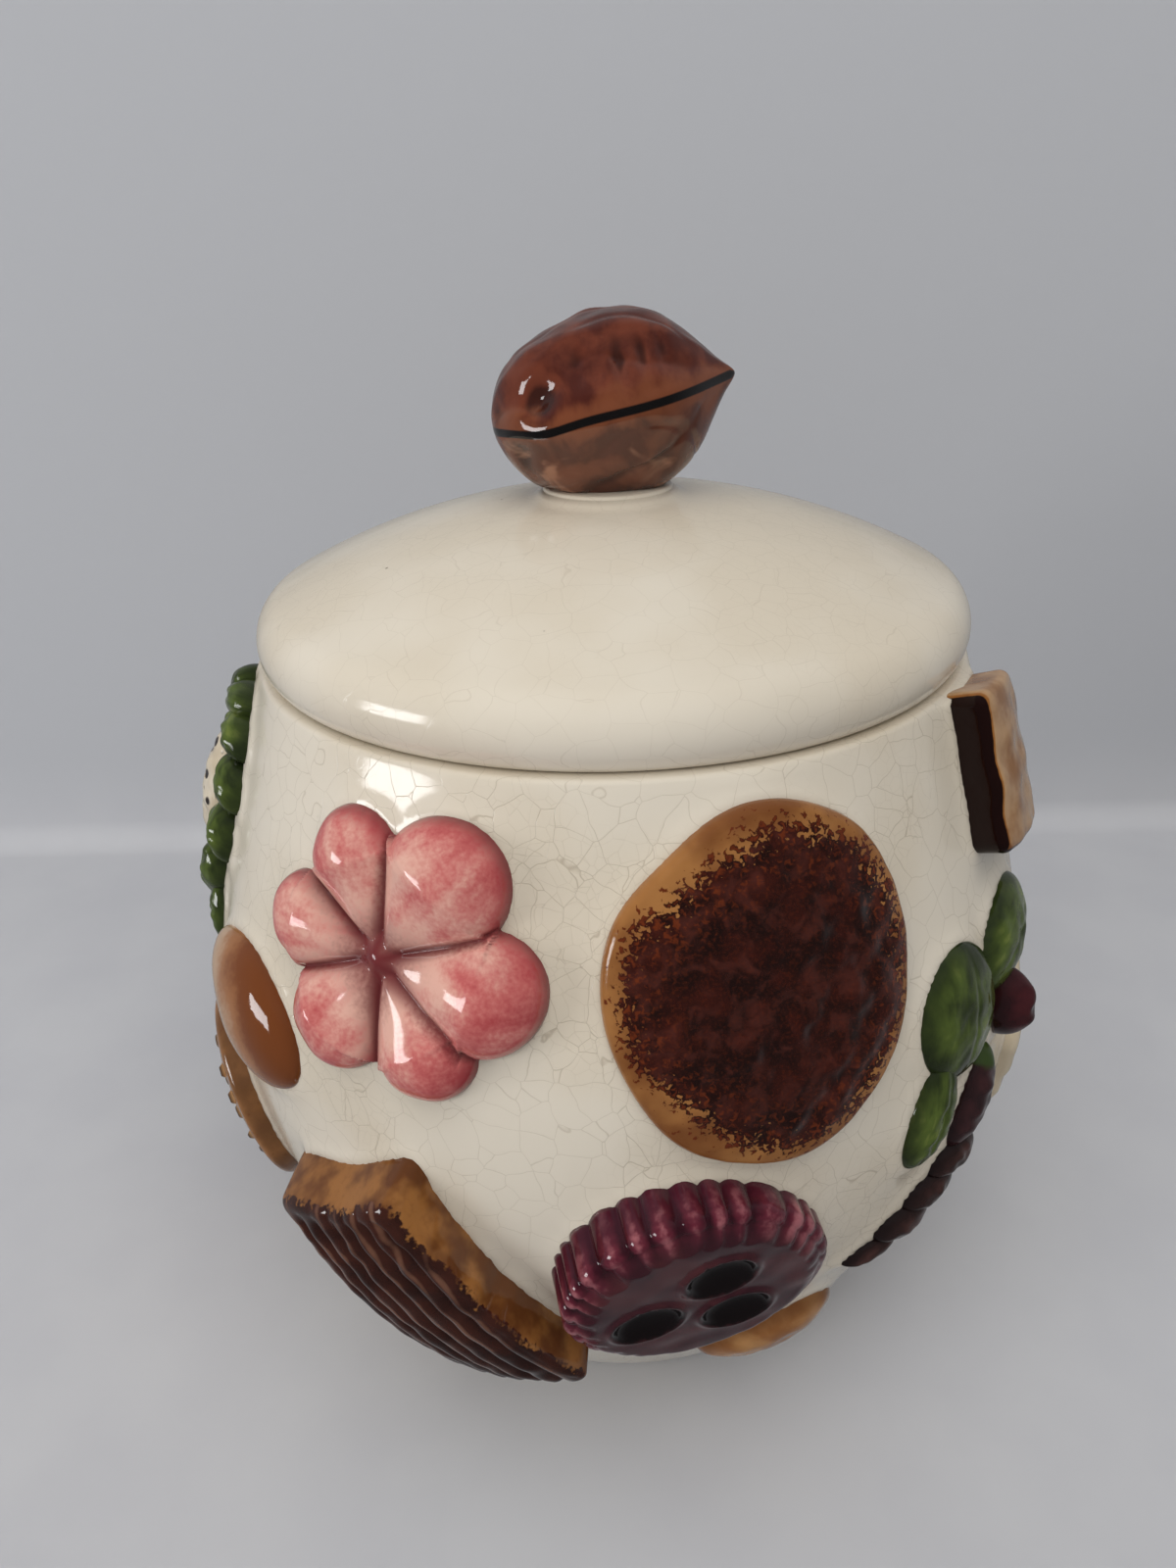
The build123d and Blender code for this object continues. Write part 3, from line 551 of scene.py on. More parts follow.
def walnut_glaze():
    """Red-brown that pools dark in the hollows and breaks to orange-tan beside the seam, with pale patches
    where it ran thin on the lower half; a black line along the seam."""
    material, tree = glaze("walnut_glaze", roughness=0.07)
    hollow, seam, upper = brushed(tree, "hollow"), brushed(tree, "seam"), brushed(tree, "upper")
    cloud = grain(tree, 0.010, detail=5.0, distortion=0.6)
    streak = grain(tree, 0.0038, detail=4.0, stretch=(1.0, 0.5, 0.5))
    load = maths(tree, "ADD", cloud, maths(tree, "MULTIPLY", streak, 0.5))
    red = mottled(tree, load, 0.60, 0.90, (108, 54, 38), (76, 34, 26))
    tan = mottled(tree, load, 0.62, 0.92, (114, 66, 46), (86, 47, 34))
    patch = grain(tree, 0.013, detail=3.0, distortion=0.7)
    low = maths(tree, "SUBTRACT", patch, maths(tree, "MULTIPLY", upper, 0.09))
    colour = coats(
        tree, layer(tree, upper, tan, red),
        (ragged(tree, hollow, streak, 0.8), -1.15, -0.45, 0.8, 0.0, (46, 22, 18)),
        (ragged(tree, seam, load, 0.012, middle=0.75), 0.0010, 0.0055, 0.75, 0.0, (126, 72, 46)),
        (low, 0.58, 0.72, 0.0, 0.60, (180, 130, 102)),
        (seam, SEAM_LINE * 0.8, SEAM_LINE * 1.3, 1.0, 0.0, (14, 11, 11)),
    )
    return fired(material, colour, cloud, 0.0002)


dress(walnut, walnut_glaze(), "lid", "walnut_glaze", "walnut_knob")

# ======== pink meringue ========
# A piped meringue, pressed in a mould and laid on the wall with slip: six fat petals round a small hollow,
# brushed with rose that is maroon in the grooves and nearly cream where the petals are thick.

SUNK = 0.0015            # how far every raised piece goes into the wall

wall_heights = np.linspace(-0.01, RIM_HEIGHT + 0.01, 900)
wall_steps = np.hypot(np.diff(wall_heights), np.diff(wall_radius(wall_heights)))
wall_runs = np.concatenate([[0], np.cumsum(wall_steps)])


def climbed(height, rise):
    """The height reached from another by going a length up along the wall."""
    return np.interp(np.interp(height, wall_heights, wall_runs) + rise, wall_runs, wall_heights)


def swung(across, up, degrees):
    """Two lengths turned counterclockwise."""
    turn = np.radians(degrees)
    return across * np.cos(turn) - up * np.sin(turn), across * np.sin(turn) + up * np.cos(turn)


def on_wall(place, across, up, out):
    """Points over the pot's wall. place is (degrees round from the front, height, turn); across and up are
    lengths along the wall from there, turned counterclockwise; out is the distance from the wall."""
    level, rise = swung(across, up, place[2])
    height = climbed(place[1], rise)
    radius = wall_radius(height)
    around = np.radians(place[0]) + level / radius
    lean = np.arctan(-wall_slope(height))
    reach = radius + out * np.cos(lean)
    return np.stack([reach * np.sin(around), -reach * np.cos(around), height + out * np.sin(lean)], -1)


def on_plane(place, across, up, out, lean=(0.0, 0.0)):
    """The same on the flat plane that touches the wall at the place, for pieces with a flat face. lean turns
    the plane about its middle, to the right and upward, in degrees."""
    corner, outer = on_wall(place, np.zeros(2), np.zeros(2), np.arange(2.0))
    around = np.radians(place[0])
    right = np.array([np.cos(around), np.sin(around), 0])
    top = np.cross(outer - corner, right)
    outward = outer - corner + np.tan(np.radians(lean[0])) * right + np.tan(np.radians(lean[1])) * top
    outward /= np.linalg.norm(outward)
    right = right - right @ outward * outward
    right /= np.linalg.norm(right)
    top = np.cross(outward, right)
    level, rise = swung(across, up, place[2])
    return corner + level[..., None] * right + rise[..., None] * top + out[..., None] * outward


footprints = []          # (place, outline) of every raised piece, for the slip round its foot


def sprig(name, place, foot, height, edge=0.0, flat=None, rings=64, crowd=False, shift=None):
    """A pressed piece on the wall, and the across, up and share of each of its points.

    Rings of the outline foot shrink to the middle. height(across, up, share) is how far the face stands out;
    share is 0 in the middle, 1 at the rim and over 1 down the side. edge is the radius that rounds the rim.
    flat gives the lean of a piece with a flat face; shift(across, up, out) moves points sideways.
    """
    tangent = np.roll(foot, -1, 0) - np.roll(foot, 1, 0)
    inward = np.stack([-tangent[:, 1], tangent[:, 0]], 1) / np.linalg.norm(tangent, axis=1)[:, None]
    brow = foot + inward * edge
    way = np.linspace(0, 1, rings + 1)[1:]
    share = (np.sin(way * np.pi / 2) if crowd else way)[:, None]
    face = share[..., None] * brow
    out = height(face[..., 0], face[..., 1], share) + 0 * face[..., 0]
    floor = -SUNK if flat is None else -SUNK - 1.4 * (foot**2).sum(1).max() / 2 / BELLY_RADIUS
    turn = np.linspace(0, np.pi / 2, 7)[1:, None] if edge else np.zeros((0, 1))
    bend = foot + inward * (edge * (1 - np.sin(turn)))[..., None]
    bend_out = out[-1] - edge * (1 - np.cos(turn))
    drop = np.linspace(0, 1, 9)[1:, None]
    side = foot + 0 * drop[..., None]
    side_out = (out[-1] - edge) * (1 - drop) + floor * drop
    under = np.array([0.7, 0.35])[:, None]
    grid = np.vstack([face, bend, side, under[..., None] * foot])
    outs = np.vstack([out, bend_out, side_out, floor + 0 * under * foot[:, 0]])
    shares = np.concatenate([share[:, 0], 1 + turn[:, 0] / np.pi, 2 + drop[:, 0], 3 + under[:, 0]])
    if shift:
        grid = np.stack(shift(grid[..., 0], grid[..., 1], outs), -1)
    middle = height(np.zeros((1, 1)), np.zeros((1, 1)), np.zeros((1, 1)))[0, 0]

    def mapped(*values):
        """On the wall, or on the leaning plane."""
        return on_wall(place, *values) if flat is None else on_plane(place, *values, flat)

    ends = mapped(np.zeros(2), np.zeros(2), np.array([middle, floor]))
    piece = skin(name, mapped(grid[..., 0], grid[..., 1], outs), ends[0], ends[1])
    footprints.append((place, foot))
    spread = np.broadcast_to(shares[:, None], outs.shape)
    across, up, share = (np.append(a, [0, 0]) for a in (grid[..., 0], grid[..., 1], spread))
    return piece, across, up, share


def compass(spokes):
    """Angles round a full turn, counterclockwise, and the points of a circle of radius one at them."""
    angle = np.linspace(0, 2 * np.pi, spokes, endpoint=False)
    return angle, np.stack([np.cos(angle), np.sin(angle)], 1)


def rough(across, up, size, seed):
    """Unevenness over the plan of a piece."""
    return unevenness(np.stack([across, up], -1), size, seed)


PINK_MERINGUE = (-28.2, 0.1362, 0.0)
PETAL_RISE = 0.0085
# Each petal: direction in degrees, reach, width.
PETALS = (
    (-9, 0.0330, 0.0250),
    (55, 0.0320, 0.0265),
    (117, 0.0290, 0.0205),
    (177, 0.0300, 0.0190),
    (236, 0.0290, 0.0220),
    (303, 0.0295, 0.0215),
)


def petal_fields(across, up, petals):
    """For each point the height of the highest petal, the place along and across it, its number and its crease.

    A petal is a cone that widens from the heart and ends in half a ball; its height goes by a power, 0.52 to
    0.80, of one less the square of the share of its half width. The crease is one where two petals meet.
    """
    best = np.full(np.broadcast(across, up).shape, -1.0)
    second = best.copy()
    along_best, aside_best, number = np.zeros_like(best), np.zeros_like(best), np.zeros_like(best)
    for index, (way, reach, width) in enumerate(petals):
        way = np.radians(way)
        along = across * np.cos(way) + up * np.sin(way)
        aside = -across * np.sin(way) + up * np.cos(way)
        half = width / 2
        ball = reach - half
        room = half * np.clip(along / ball, 0.0, 1) ** 0.75 + 0.0012
        off = np.where(along > ball, np.hypot(along - ball, aside) / half, np.abs(aside) / room)
        off = np.where(along < 0, 2.0, off)
        swell = 0.30 + 0.70 * np.clip(along / (0.62 * reach), 0, 1) ** 1.2
        steep = 0.52 + 0.28 * np.clip(1.15 - along / ball, 0, 1)
        stand = PETAL_RISE * width / 0.022 * swell * np.clip(1 - off**2, 0, None) ** steep
        stand = np.where(off < 1, stand, -(off - 1) * 0.01)
        better = stand > best
        second = np.where(better, best, np.maximum(second, stand))
        best = np.where(better, stand, best)
        along_best = np.where(better, along / reach, along_best)
        aside_best = np.where(better, aside / half, aside_best)
        number = np.where(better, index, number)
    return best, along_best, aside_best, number, np.clip(1 - (best - second) / 0.0058, 0, 1)


def star_outline(stand, spokes, near, far):
    """An outline round what stands out: the furthest such point in each direction, a little smoothed."""
    angle, ring = compass(spokes)
    reach = np.linspace(near, far, 521)[:, None]
    last = reach[(stand(reach * np.cos(angle), reach * np.sin(angle)) > 0).cumsum(0).argmax(0), 0]
    for _ in range(3):
        last = 0.25 * (np.roll(last, 1) + np.roll(last, -1)) + 0.5 * last
    return last[:, None] * ring


def meringue(name, place, petals, material, slot, node, seed):
    """A meringue with the petals given, its grooves and strokes kept for the glaze."""

    def height(across, up, share):
        """The petals over a low heart, with a slow ripple, and a nick along each crease."""
        stand, _, _, _, crease = petal_fields(across, up, petals)
        stand = stand - 0.0008 * crease**3 * np.clip(stand / 0.003, 0, 1)
        heart = 0.0034 * np.exp(-(np.hypot(across, up) / 0.0045) ** 2) + 0.0012
        ripple = 0.00022 * rough(across, up, 0.011, seed) * np.clip(stand / 0.004, 0, 1)
        return np.maximum(stand, heart * (share < 0.45)) + ripple

    foot = star_outline(lambda across, up: petal_fields(across, up, petals)[0], 420, 0.010, 0.037)
    piece, across, up, share = sprig(name, place, foot, height, rings=76, crowd=True)
    stand, along, aside, number, crease = petal_fields(across, up, petals)
    paint(piece, "crease", crease * np.clip(stand / 0.002, 0, 1))
    paint(piece, "stand", np.where(share > 1, 0, np.clip(stand, 0, 1) / PETAL_RISE))
    paint(piece, "along", along)
    paint(piece, "aside", aside + 2.5 * number)
    dress(piece, material, "jar", slot, node)


def strokes_group():
    """Brush strokes on a form: noise on the places along and across it, each times a number of its own."""
    kinds = dict.fromkeys(("Along", "Across", "Scale", "Detail"), "Float")
    group, given, end = effect("strokes", "Stroke", **kinds)
    brush = add(group, "CombineXYZ", {"X": given["Along"], "Y": given["Across"]}).outputs[0]
    fields = {"Vector": brush, "Scale": given["Scale"], "Detail": given["Detail"]}
    group.links.new(add(group, "TexNoise", fields).outputs["Fac"], end)
    return group


STROKES = strokes_group()


def strokes(tree, along, across, crowd_along, crowd_across, scale, detail):
    """Brush strokes; the larger crowd_along and crowd_across are, the closer they lie in that direction."""
    fields = {"Along": maths(tree, "MULTIPLY", along, crowd_along), "Scale": scale, "Detail": detail}
    fields["Across"] = maths(tree, "MULTIPLY", across, crowd_across)
    return add(tree, "Group", fields, node_tree=STROKES).outputs["Stroke"]


def meringue_glaze(name, thin, body, deep, groove):
    """Brushed colour: thin and pale inside, deeper on the fat end of each petal, darkest in the grooves."""
    material, tree = glaze(name, roughness=0.10)
    stand, along = brushed(tree, "stand"), brushed(tree, "along")
    stroke = strokes(tree, along, brushed(tree, "aside"), 1.6, 1.8, 1.2, 2.0)
    cloud = grain(tree, 0.010, detail=2.0)
    mottle = grain(tree, 0.0009, detail=2.0)
    load = maths(tree, "ADD", maths(tree, "MULTIPLY", stroke, 0.5), maths(tree, "MULTIPLY", cloud, 0.45))
    load = ragged(tree, maths(tree, "ADD", load, maths(tree, "MULTIPLY", along, 0.42)), mottle, 0.22)
    colour = coats(
        tree, mottled(tree, load, 0.56, 0.84, thin, body),
        (load, 0.76, 0.98, 0.0, 0.85, deep),
        (ragged(tree, ragged(tree, stand, cloud, 0.35), mottle, 0.2), 0.12, 0.66, 0.9, 0.0, groove),
        (ragged(tree, along, mottle, 0.14), 0.02, 0.40, 0.75, 0.0, groove),
        (ragged(tree, brushed(tree, "crease"), mottle, 0.35), 0.30, 1.05, 0.0, 0.85, groove),
    )
    return fired(material, colour, cloud, 0.00008)


rose = meringue_glaze("rose_glaze", (228, 178, 162), (202, 112, 108), (172, 62, 68), (112, 42, 46))
meringue("pink_meringue_glazed", PINK_MERINGUE, PETALS, rose, "rose_glaze", "pink_meringue", 21)

# The one on the far side is white, with only a breath of yellow.
white_tones = (236, 228, 214), (226, 214, 192), (214, 194, 158), (186, 158, 120)
white = meringue_glaze("white_meringue_glaze", *white_tones)
BACK_MERINGUE = (119, 0.062, 12)
back_petals = tuple((way + 7 * np.sin(3 * way), reach * 0.97, 0.0215) for way, reach, width in PETALS)
meringue("back_meringue_glazed", BACK_MERINGUE, back_petals, white, "white_meringue_glaze", "back_meringue", 22)

# ======== chocolate rounds ========
# A round biscuit, pressed with a lumpy face and a soft edge. Caramel glaze all over, then chocolate dabbed on
# with a dry brush, which leaves a ragged border and a rim of caramel that is widest at the upper left.

CHOCOLATE_ROUND = (16.9, 0.1327, 0)
BACK_CHOCOLATE_ROUND = (160, 0.060, 80)
ROUND_HALF_HEIGHT = 0.0350
ROUND_THICK = 0.005
ROUND_EDGE = 0.0024
ROUND_RIM = 0.0036       # width of the caramel rim, on average


def chocolate_round(name, place, half_width, half_height, rim_lean, node, seed):
    """A lumpy slab with an almost oval outline, flattened beside the widest part of its rim; inside keeps how
    far each point is within the ragged border."""
    angle, ring = compass(360)
    radius = 1 / np.hypot(ring[:, 0] / half_width, ring[:, 1] / half_height)
    flat = wrapped(angle - rim_lean + np.radians(18))
    radius = radius * (1 + 0.010 * unevenness(ring, 0.8, seed) - 0.075 * np.exp(-(flat / 0.45) ** 2))

    def height(across, up, share):
        """Lumps a few millimetres across on a face that falls a little towards its rim."""
        lumps = 0.00048 * rough(across, up, 0.0080, seed) + 0.00014 * rough(across, up, 0.0040, seed + 1)
        return ROUND_THICK - 0.0016 * share**4 + lumps * (1 - 0.8 * share**3)

    foot = radius[:, None] * ring
    piece, across, up, share = sprig(name, place, foot, height, ROUND_EDGE, rings=98, crowd=True)
    oval = np.hypot(across / half_width, up / half_height)
    first, second = (wrapped(np.arctan2(up, across) - rim_lean - np.radians(off)) for off in (-22, 95))
    wide = ROUND_RIM * (0.70 + 1.25 * np.exp(-(first / 0.60) ** 2) + 0.85 * np.exp(-(second / 0.50) ** 2))
    paint(piece, "inside", (1 - oval) * half_width - wide)
    dress(piece, chocolate, "jar", "chocolate_glaze", node)


def chocolate_glaze():
    """Caramel with chocolate brushed over it: dark, mottled red-brown, in flecks at its border; lighter maroon
    patches are partly mottle, partly painted sheen.
    """
    material, tree = glaze("chocolate_glaze", roughness=0.10)
    inside = brushed(tree, "inside")
    caramel = mottled(tree, grain(tree, 0.012, detail=3.0), 0.3, 0.7, (166, 114, 64), (122, 74, 38))
    bristle = grain(tree, 0.0012, detail=5.0, distortion=0.5)
    broad = grain(tree, 0.0060, detail=3.0)
    # Lighter maroon patches on the chocolate: partly its own mottle, partly a painted soft highlight on its
    # lumps.
    lump_mottle_and_sheen = grain(tree, 0.0042, detail=3.0, distortion=0.6)
    dark = coats(
        tree, mottled(tree, broad, 0.40, 0.64, (30, 9, 6), (54, 18, 11)),
        (lump_mottle_and_sheen, 0.44, 0.70, 0.0, 0.45, (92, 46, 38)),
        (grain(tree, 0.0006, detail=3.0), 0.50, 0.64, 0.0, 0.14, (110, 44, 18)),
    )
    near_edge = between(tree, inside, 0.001, 0.014, 0.7, 0.0)
    thin = maths(tree, "MULTIPLY", near_edge, between(tree, bristle, 0.52, 0.66))
    dark = layer(tree, thin, dark, tint(116, 50, 20))
    far = ragged(tree, ragged(tree, inside, bristle, 0.0190), broad, 0.0060)
    return fired(material, layer(tree, between(tree, far, -0.0002, 0.0007), caramel, dark), bristle, 0.00006)


chocolate = chocolate_glaze()
for place, half_width, rim_way, node, seed in (
    (CHOCOLATE_ROUND, 0.0302, 140, "chocolate_round", 31),
    (BACK_CHOCOLATE_ROUND, 0.0310, 60, "back_chocolate_round", 33),
):
    chocolate_round(node + "_glazed", place, half_width, ROUND_HALF_HEIGHT, np.radians(rim_way), node, seed)

# ======== chocolate finger ========
# A short thick bar under the lid's right-hand edge: its left side and end are dipped in dark chocolate, its
# face is pale and sandy. Pressed in a mould and laid on with slip.

CHOCOLATE_FINGER = (62, 0.1537, -7)
FINGER_HALF_WIDTH = 0.0114
FINGER_HALF_HEIGHT = 0.0170
FINGER_THICK = 0.009
FINGER_CORNER = 0.0030
FINGER_EDGE = 0.0022


def rounded_rectangle(half_width, half_height, corner, spokes):
    """A rectangle with round corners, as points an equal step apart along it, counterclockwise."""
    turn = np.linspace(0, np.pi / 2, 9)
    quarter = np.stack([np.cos(turn), np.sin(turn)], 1) * corner
    corners = []
    for index, (x, y) in enumerate(((1, 1), (-1, 1), (-1, -1), (1, -1))):
        middle = (x * (half_width - corner), y * (half_height - corner))
        corners.append(np.stack(swung(*quarter.T, 90 * index), 1) + middle)
    line = np.vstack(corners + [corners[0][:1]])
    run = np.concatenate([[0], np.cumsum(np.hypot(*np.diff(line, axis=0).T))])
    marks = np.linspace(0, run[-1], spokes, endpoint=False)
    return np.stack([np.interp(marks, run, line[:, 0]), np.interp(marks, run, line[:, 1])], 1)


def finger_glaze():
    """Sandy tan, with chocolate over the sides, which has run thin and tawny along the edges."""
    material, tree = glaze("finger_glaze", roughness=0.08)
    tree.nodes["Principled BSDF"].inputs["Specular IOR Level"].default_value = 0.25
    cloud = grain(tree, 0.010, detail=4.0)
    edge = ragged(tree, brushed(tree, "dip"), cloud, 0.8)
    sand = mottled(tree, cloud, 0.35, 0.65, (186, 150, 112), (140, 98, 62))
    tawny = mottled(tree, cloud, 0.4, 0.6, (158, 104, 52), (120, 74, 38))
    colour = layer(tree, between(tree, edge, 0.15, 0.45), sand, tawny)
    return fired(material, coats(tree, colour, (edge, 0.62, 0.74, 0.0, 1.0, (28, 11, 9))), cloud, 0.0002)


def finger_height(across, up, share):
    """A face that is a little crowned and a little uneven."""
    return FINGER_THICK - 0.0006 * share**2 + 0.00025 * rough(across, up, 0.010, 41)


finger_foot = rounded_rectangle(FINGER_HALF_WIDTH, FINGER_HALF_HEIGHT, FINGER_CORNER, 240)
finger, across, up, share = sprig("chocolate_finger_glazed", CHOCOLATE_FINGER, finger_foot, finger_height,
                                  FINGER_EDGE)
side_left = np.clip((-across / FINGER_HALF_WIDTH - 0.80) / 0.15, 0, 1)
side_end = np.clip((-up / FINGER_HALF_HEIGHT - 0.85) / 0.12, 0, 1)
paint(finger, "dip", np.maximum(side_left, side_end) * np.where(share > 1.15, 1.0, 0.35 * side_left))
dress(finger, finger_glaze(), "jar", "chocolate_glaze", "chocolate_finger")

# ======== wafers ========
# A long ridged wafer: caramel sides, and a face of even ridges running its length that chocolate was brushed
# across, so that it lies thick in the grooves and thin on the crests.

WAFER_SLICE = (-24.6, 0.0600, -61)
BACK_WAFER = (206, 0.057, 28)
WAFER_HALF_LENGTH = 0.0300
WAFER_HALF_WIDTH = 0.0188
WAFER_THICK = 0.0112
WAFER_RIDGES = 7
WAFER_EDGE = 0.0016
WAFER_CORNER = 0.0022
WAFER_UPPER_END = 1.08       # how much further its upper half reaches, as it is slanted


def wafer_glaze():
    """Caramel with burnt patches; over the face a feathery coat of chocolate, thin on the crests."""
    material, tree = glaze("wafer_glaze", roughness=0.08)
    cloud = grain(tree, 0.009, detail=3.0)
    bristle = grain(tree, 0.0013, detail=4.0)
    caramel = coats(
        tree, mottled(tree, cloud, 0.36, 0.62, (152, 102, 54), (98, 58, 30)),
        (bristle, 0.5, 0.7, 0.0, 0.25, (112, 66, 34)),
    )
    dark = coats(
        tree, mottled(tree, cloud, 0.35, 0.65, (44, 20, 15), (64, 32, 24)),
        (ragged(tree, brushed(tree, "crest"), cloud, 0.35), 0.93, 1.06, 0.0, 0.5, (138, 98, 78)),
    )
    border = ragged(tree, ragged(tree, brushed(tree, "face"), bristle, 0.0045), cloud, 0.0024)
    return fired(material, layer(tree, between(tree, border, -0.0003, 0.0005), caramel, dark), cloud, 0.0001)


def wafer(name, place, node, seed):
    """A slab whose ridges follow its length, each wandering a little; its long sides swell at every ridge."""
    foot = rounded_rectangle(WAFER_HALF_LENGTH, WAFER_HALF_WIDTH, WAFER_CORNER, 380)
    foot[:, 0] = np.where(foot[:, 0] < 0, foot[:, 0] * WAFER_UPPER_END, foot[:, 0])
    bulge = 0.0005 * unevenness(foot * (1, 0.3), 0.009, seed)
    foot = foot * (1 + bulge[:, None] / WAFER_HALF_WIDTH)
    pitch = 2 * WAFER_HALF_WIDTH / WAFER_RIDGES

    def ridges(across, up):
        """One at a crest and nought in a groove, from the cosine of the way across, which wanders a little."""
        wander = 0.0004 * rough(across, 0.5 * up, 0.009, seed + 1)
        return np.abs(np.cos(np.pi * (up + wander) / pitch + np.pi / 2 * (WAFER_RIDGES % 2 == 0)))

    def height(across, up, share):
        """The face, rounded down over the crests, its grooves more than a millimetre deep."""
        dents = 0.00012 * rough(across, up, 0.007, seed + 2)
        full = np.clip((1.06 * WAFER_HALF_LENGTH - np.abs(across)) / 0.005, 0, 1)
        return WAFER_THICK - 0.0015 * (1 - ridges(across, up) ** 0.8) * full + dents - 0.0004 * share**6

    def slanted(across, up, out):
        """The upper end slants back over its foot, most of all at its right-hand corner."""
        end = np.clip(-across / WAFER_HALF_LENGTH, 0, 1) ** 2
        rise = np.clip(out / WAFER_THICK, 0, 1)
        right, left = np.clip(up / WAFER_HALF_WIDTH, 0, 1), np.clip(-up / WAFER_HALF_WIDTH, 0, 1)
        aside = -0.0042 * rise * right - 0.0030 * (1 - rise) * left
        return across + 0.0052 * end * rise, up + end * aside

    piece, across, up, share = sprig(name, place, foot, height, WAFER_EDGE, rings=96, shift=slanted)
    inset = np.minimum(WAFER_UPPER_END * WAFER_HALF_LENGTH - np.abs(across), WAFER_HALF_WIDTH - np.abs(up))
    down = np.clip(share - 1.5, -0.5, 1.0) * 0.0035
    paint(piece, "face", np.where(share > 1, -down, 0.0018 + np.clip(inset, 0, 0.005)))
    paint(piece, "crest", ridges(across, up))
    dress(piece, wafer_brown, "jar", "wafer_glaze", node)


wafer_brown = wafer_glaze()
wafer("wafer_slice_glazed", WAFER_SLICE, "wafer_slice", 51)
wafer("back_wafer_glazed", BACK_WAFER, "back_wafer", 55)

# ======== tarts ========
# A fluted pastry case, pressed in a mould: flutes that run in over its rounded edge, a flat face and three
# dimples for the fruit. Plum glaze, pink where it runs thin on the flutes and nearly black in the dimples.

JAM_TART = (7.9, 0.069, 0)
BACK_TART = (245, 0.060, 20)
TART_LEAN = (6.0, -5.0)
TART_RADIUS = 0.0275
TART_RISE = 0.0058
TART_EDGE = 0.0022
TART_FLUTES = 30
FLUTE_DEPTH = 0.0011
FLUTE_INNER = 0.86       # share of the radius where the flutes begin
DIMPLES = ((-0.0108, -0.0040, 20), (0.0032, 0.0092, 35), (0.0076, -0.0064, 10))    # across, up, turn
DIMPLE_LONG = 0.0068
DIMPLE_WIDE = 0.0060
DIMPLE_DEPTH = 0.0024


def tart_glaze():
    """Plum red with a dusty face, pink on the crests of the flutes, near-black in the dimples."""
    material, tree = glaze("tart_glaze", roughness=0.10)
    cloud = grain(tree, 0.010, detail=4.0)
    fine = grain(tree, 0.0018, detail=4.0)
    load = ragged(tree, ragged(tree, brushed(tree, "flute"), fine, 0.8), cloud, 0.9)
    side = coats(
        tree, mottled(tree, load, 0.20, 0.95, (50, 12, 24), (98, 36, 50)),
        (load, 0.80, 1.20, 0.0, 0.7, (186, 116, 122)),
        (brushed(tree, "down"), 0.25, 0.8, 0.0, 0.75, (58, 18, 32)),
    )
    at_rim = between(tree, ragged(tree, brushed(tree, "rim"), cloud, 0.14), 0.78, 0.98)
    fluted = maths(tree, "MULTIPLY", at_rim, between(tree, brushed(tree, "kept"), 0.0, 0.6, 0.25, 1.0))
    colour = layer(tree, fluted, mottled(tree, cloud, 0.35, 0.65, (58, 26, 34), (80, 40, 44)), side)
    deep = ragged(tree, brushed(tree, "dimple"), fine, 0.3)
    return fired(material, coats(tree, colour, (deep, 0.02, 0.24, 0.0, 1.0, (16, 8, 9))), cloud, 0.00005)


def tart(name, place, node, seed):
    """A disc with flutes round it; each dimple is a rounded hollow pressed into the face, by the power 0.7 of
    one less the square of its reach, with a low bell curve for the lip round it."""
    angle, ring = compass(380)

    def kept(turn):
        """How much of the flutes is left: all at the upper left, little at the bottom."""
        return np.clip(0.42 + 0.62 * np.cos(turn - np.radians(121)), 0.05, 1)

    def flutes(turn):
        """One on the crest of a flute, less between two; they differ in width and are worn at the bottom."""
        wander = 0.5 * np.sin(5 * turn + seed) + 0.4 * np.sin(9 * turn)
        return 1 - kept(turn) * (1 - np.abs(np.cos(TART_FLUTES / 2 * turn + wander)) ** 0.8)

    foot = ring * (TART_RADIUS - FLUTE_DEPTH * (1 - flutes(angle)))[:, None]

    def dimple_reach(across, up):
        """The distance to the nearest dimple's middle, as a share of the dimple's own radius that way."""
        nearest = np.full(across.shape, 9.0)
        for along, aside, turn in DIMPLES:
            long_way, wide_way = swung(across - along, up - aside, -turn)
            nearest = np.minimum(nearest, np.hypot(long_way / DIMPLE_LONG, wide_way / DIMPLE_WIDE))
        return nearest

    def height(across, up, share):
        """The flat face, its dimples and lips, and the shoulder that the flutes run over."""
        reach = dimple_reach(across, up)
        press = -DIMPLE_DEPTH * np.clip(1 - reach**2, 0, 1) ** 0.7
        lip = 0.0007 * np.exp(-((reach - 1.12) / 0.14) ** 2)
        over = np.clip((share - FLUTE_INNER) / (1 - FLUTE_INNER), 0, 1)
        grooves = FLUTE_DEPTH * (1 - flutes(np.arctan2(up, across))) * np.minimum(over * 3, 1)
        shoulder = -0.0019 * over**2 - grooves
        return TART_RISE + press + lip + shoulder + 0.00006 * rough(across, up, 0.008, seed)

    piece, across, up, share = sprig(name, place, foot, height, TART_EDGE, TART_LEAN, rings=96)
    turn = np.arctan2(up, across)
    paint(piece, "flute", flutes(turn))
    paint(piece, "rim", np.hypot(across, up) / TART_RADIUS)
    paint(piece, "kept", kept(turn))
    paint(piece, "down", np.clip((share - 1.5) / 1.5, 0, 1))
    paint(piece, "dimple", np.clip(1.25 - dimple_reach(across, up), 0, 1))
    dress(piece, tart_plum, "jar", "tart_glaze", node)


tart_plum = tart_glaze()
tart("jam_tart_glazed", JAM_TART, "jam_tart", 61)
tart("back_tart_glazed", BACK_TART, "back_tart", 62)

# ======== almonds ========
# A blanched almond, smooth all over: a low dome, round at one end and pointed at the other, toasted brown
# along one side. Pressed in a mould and laid on with slip.

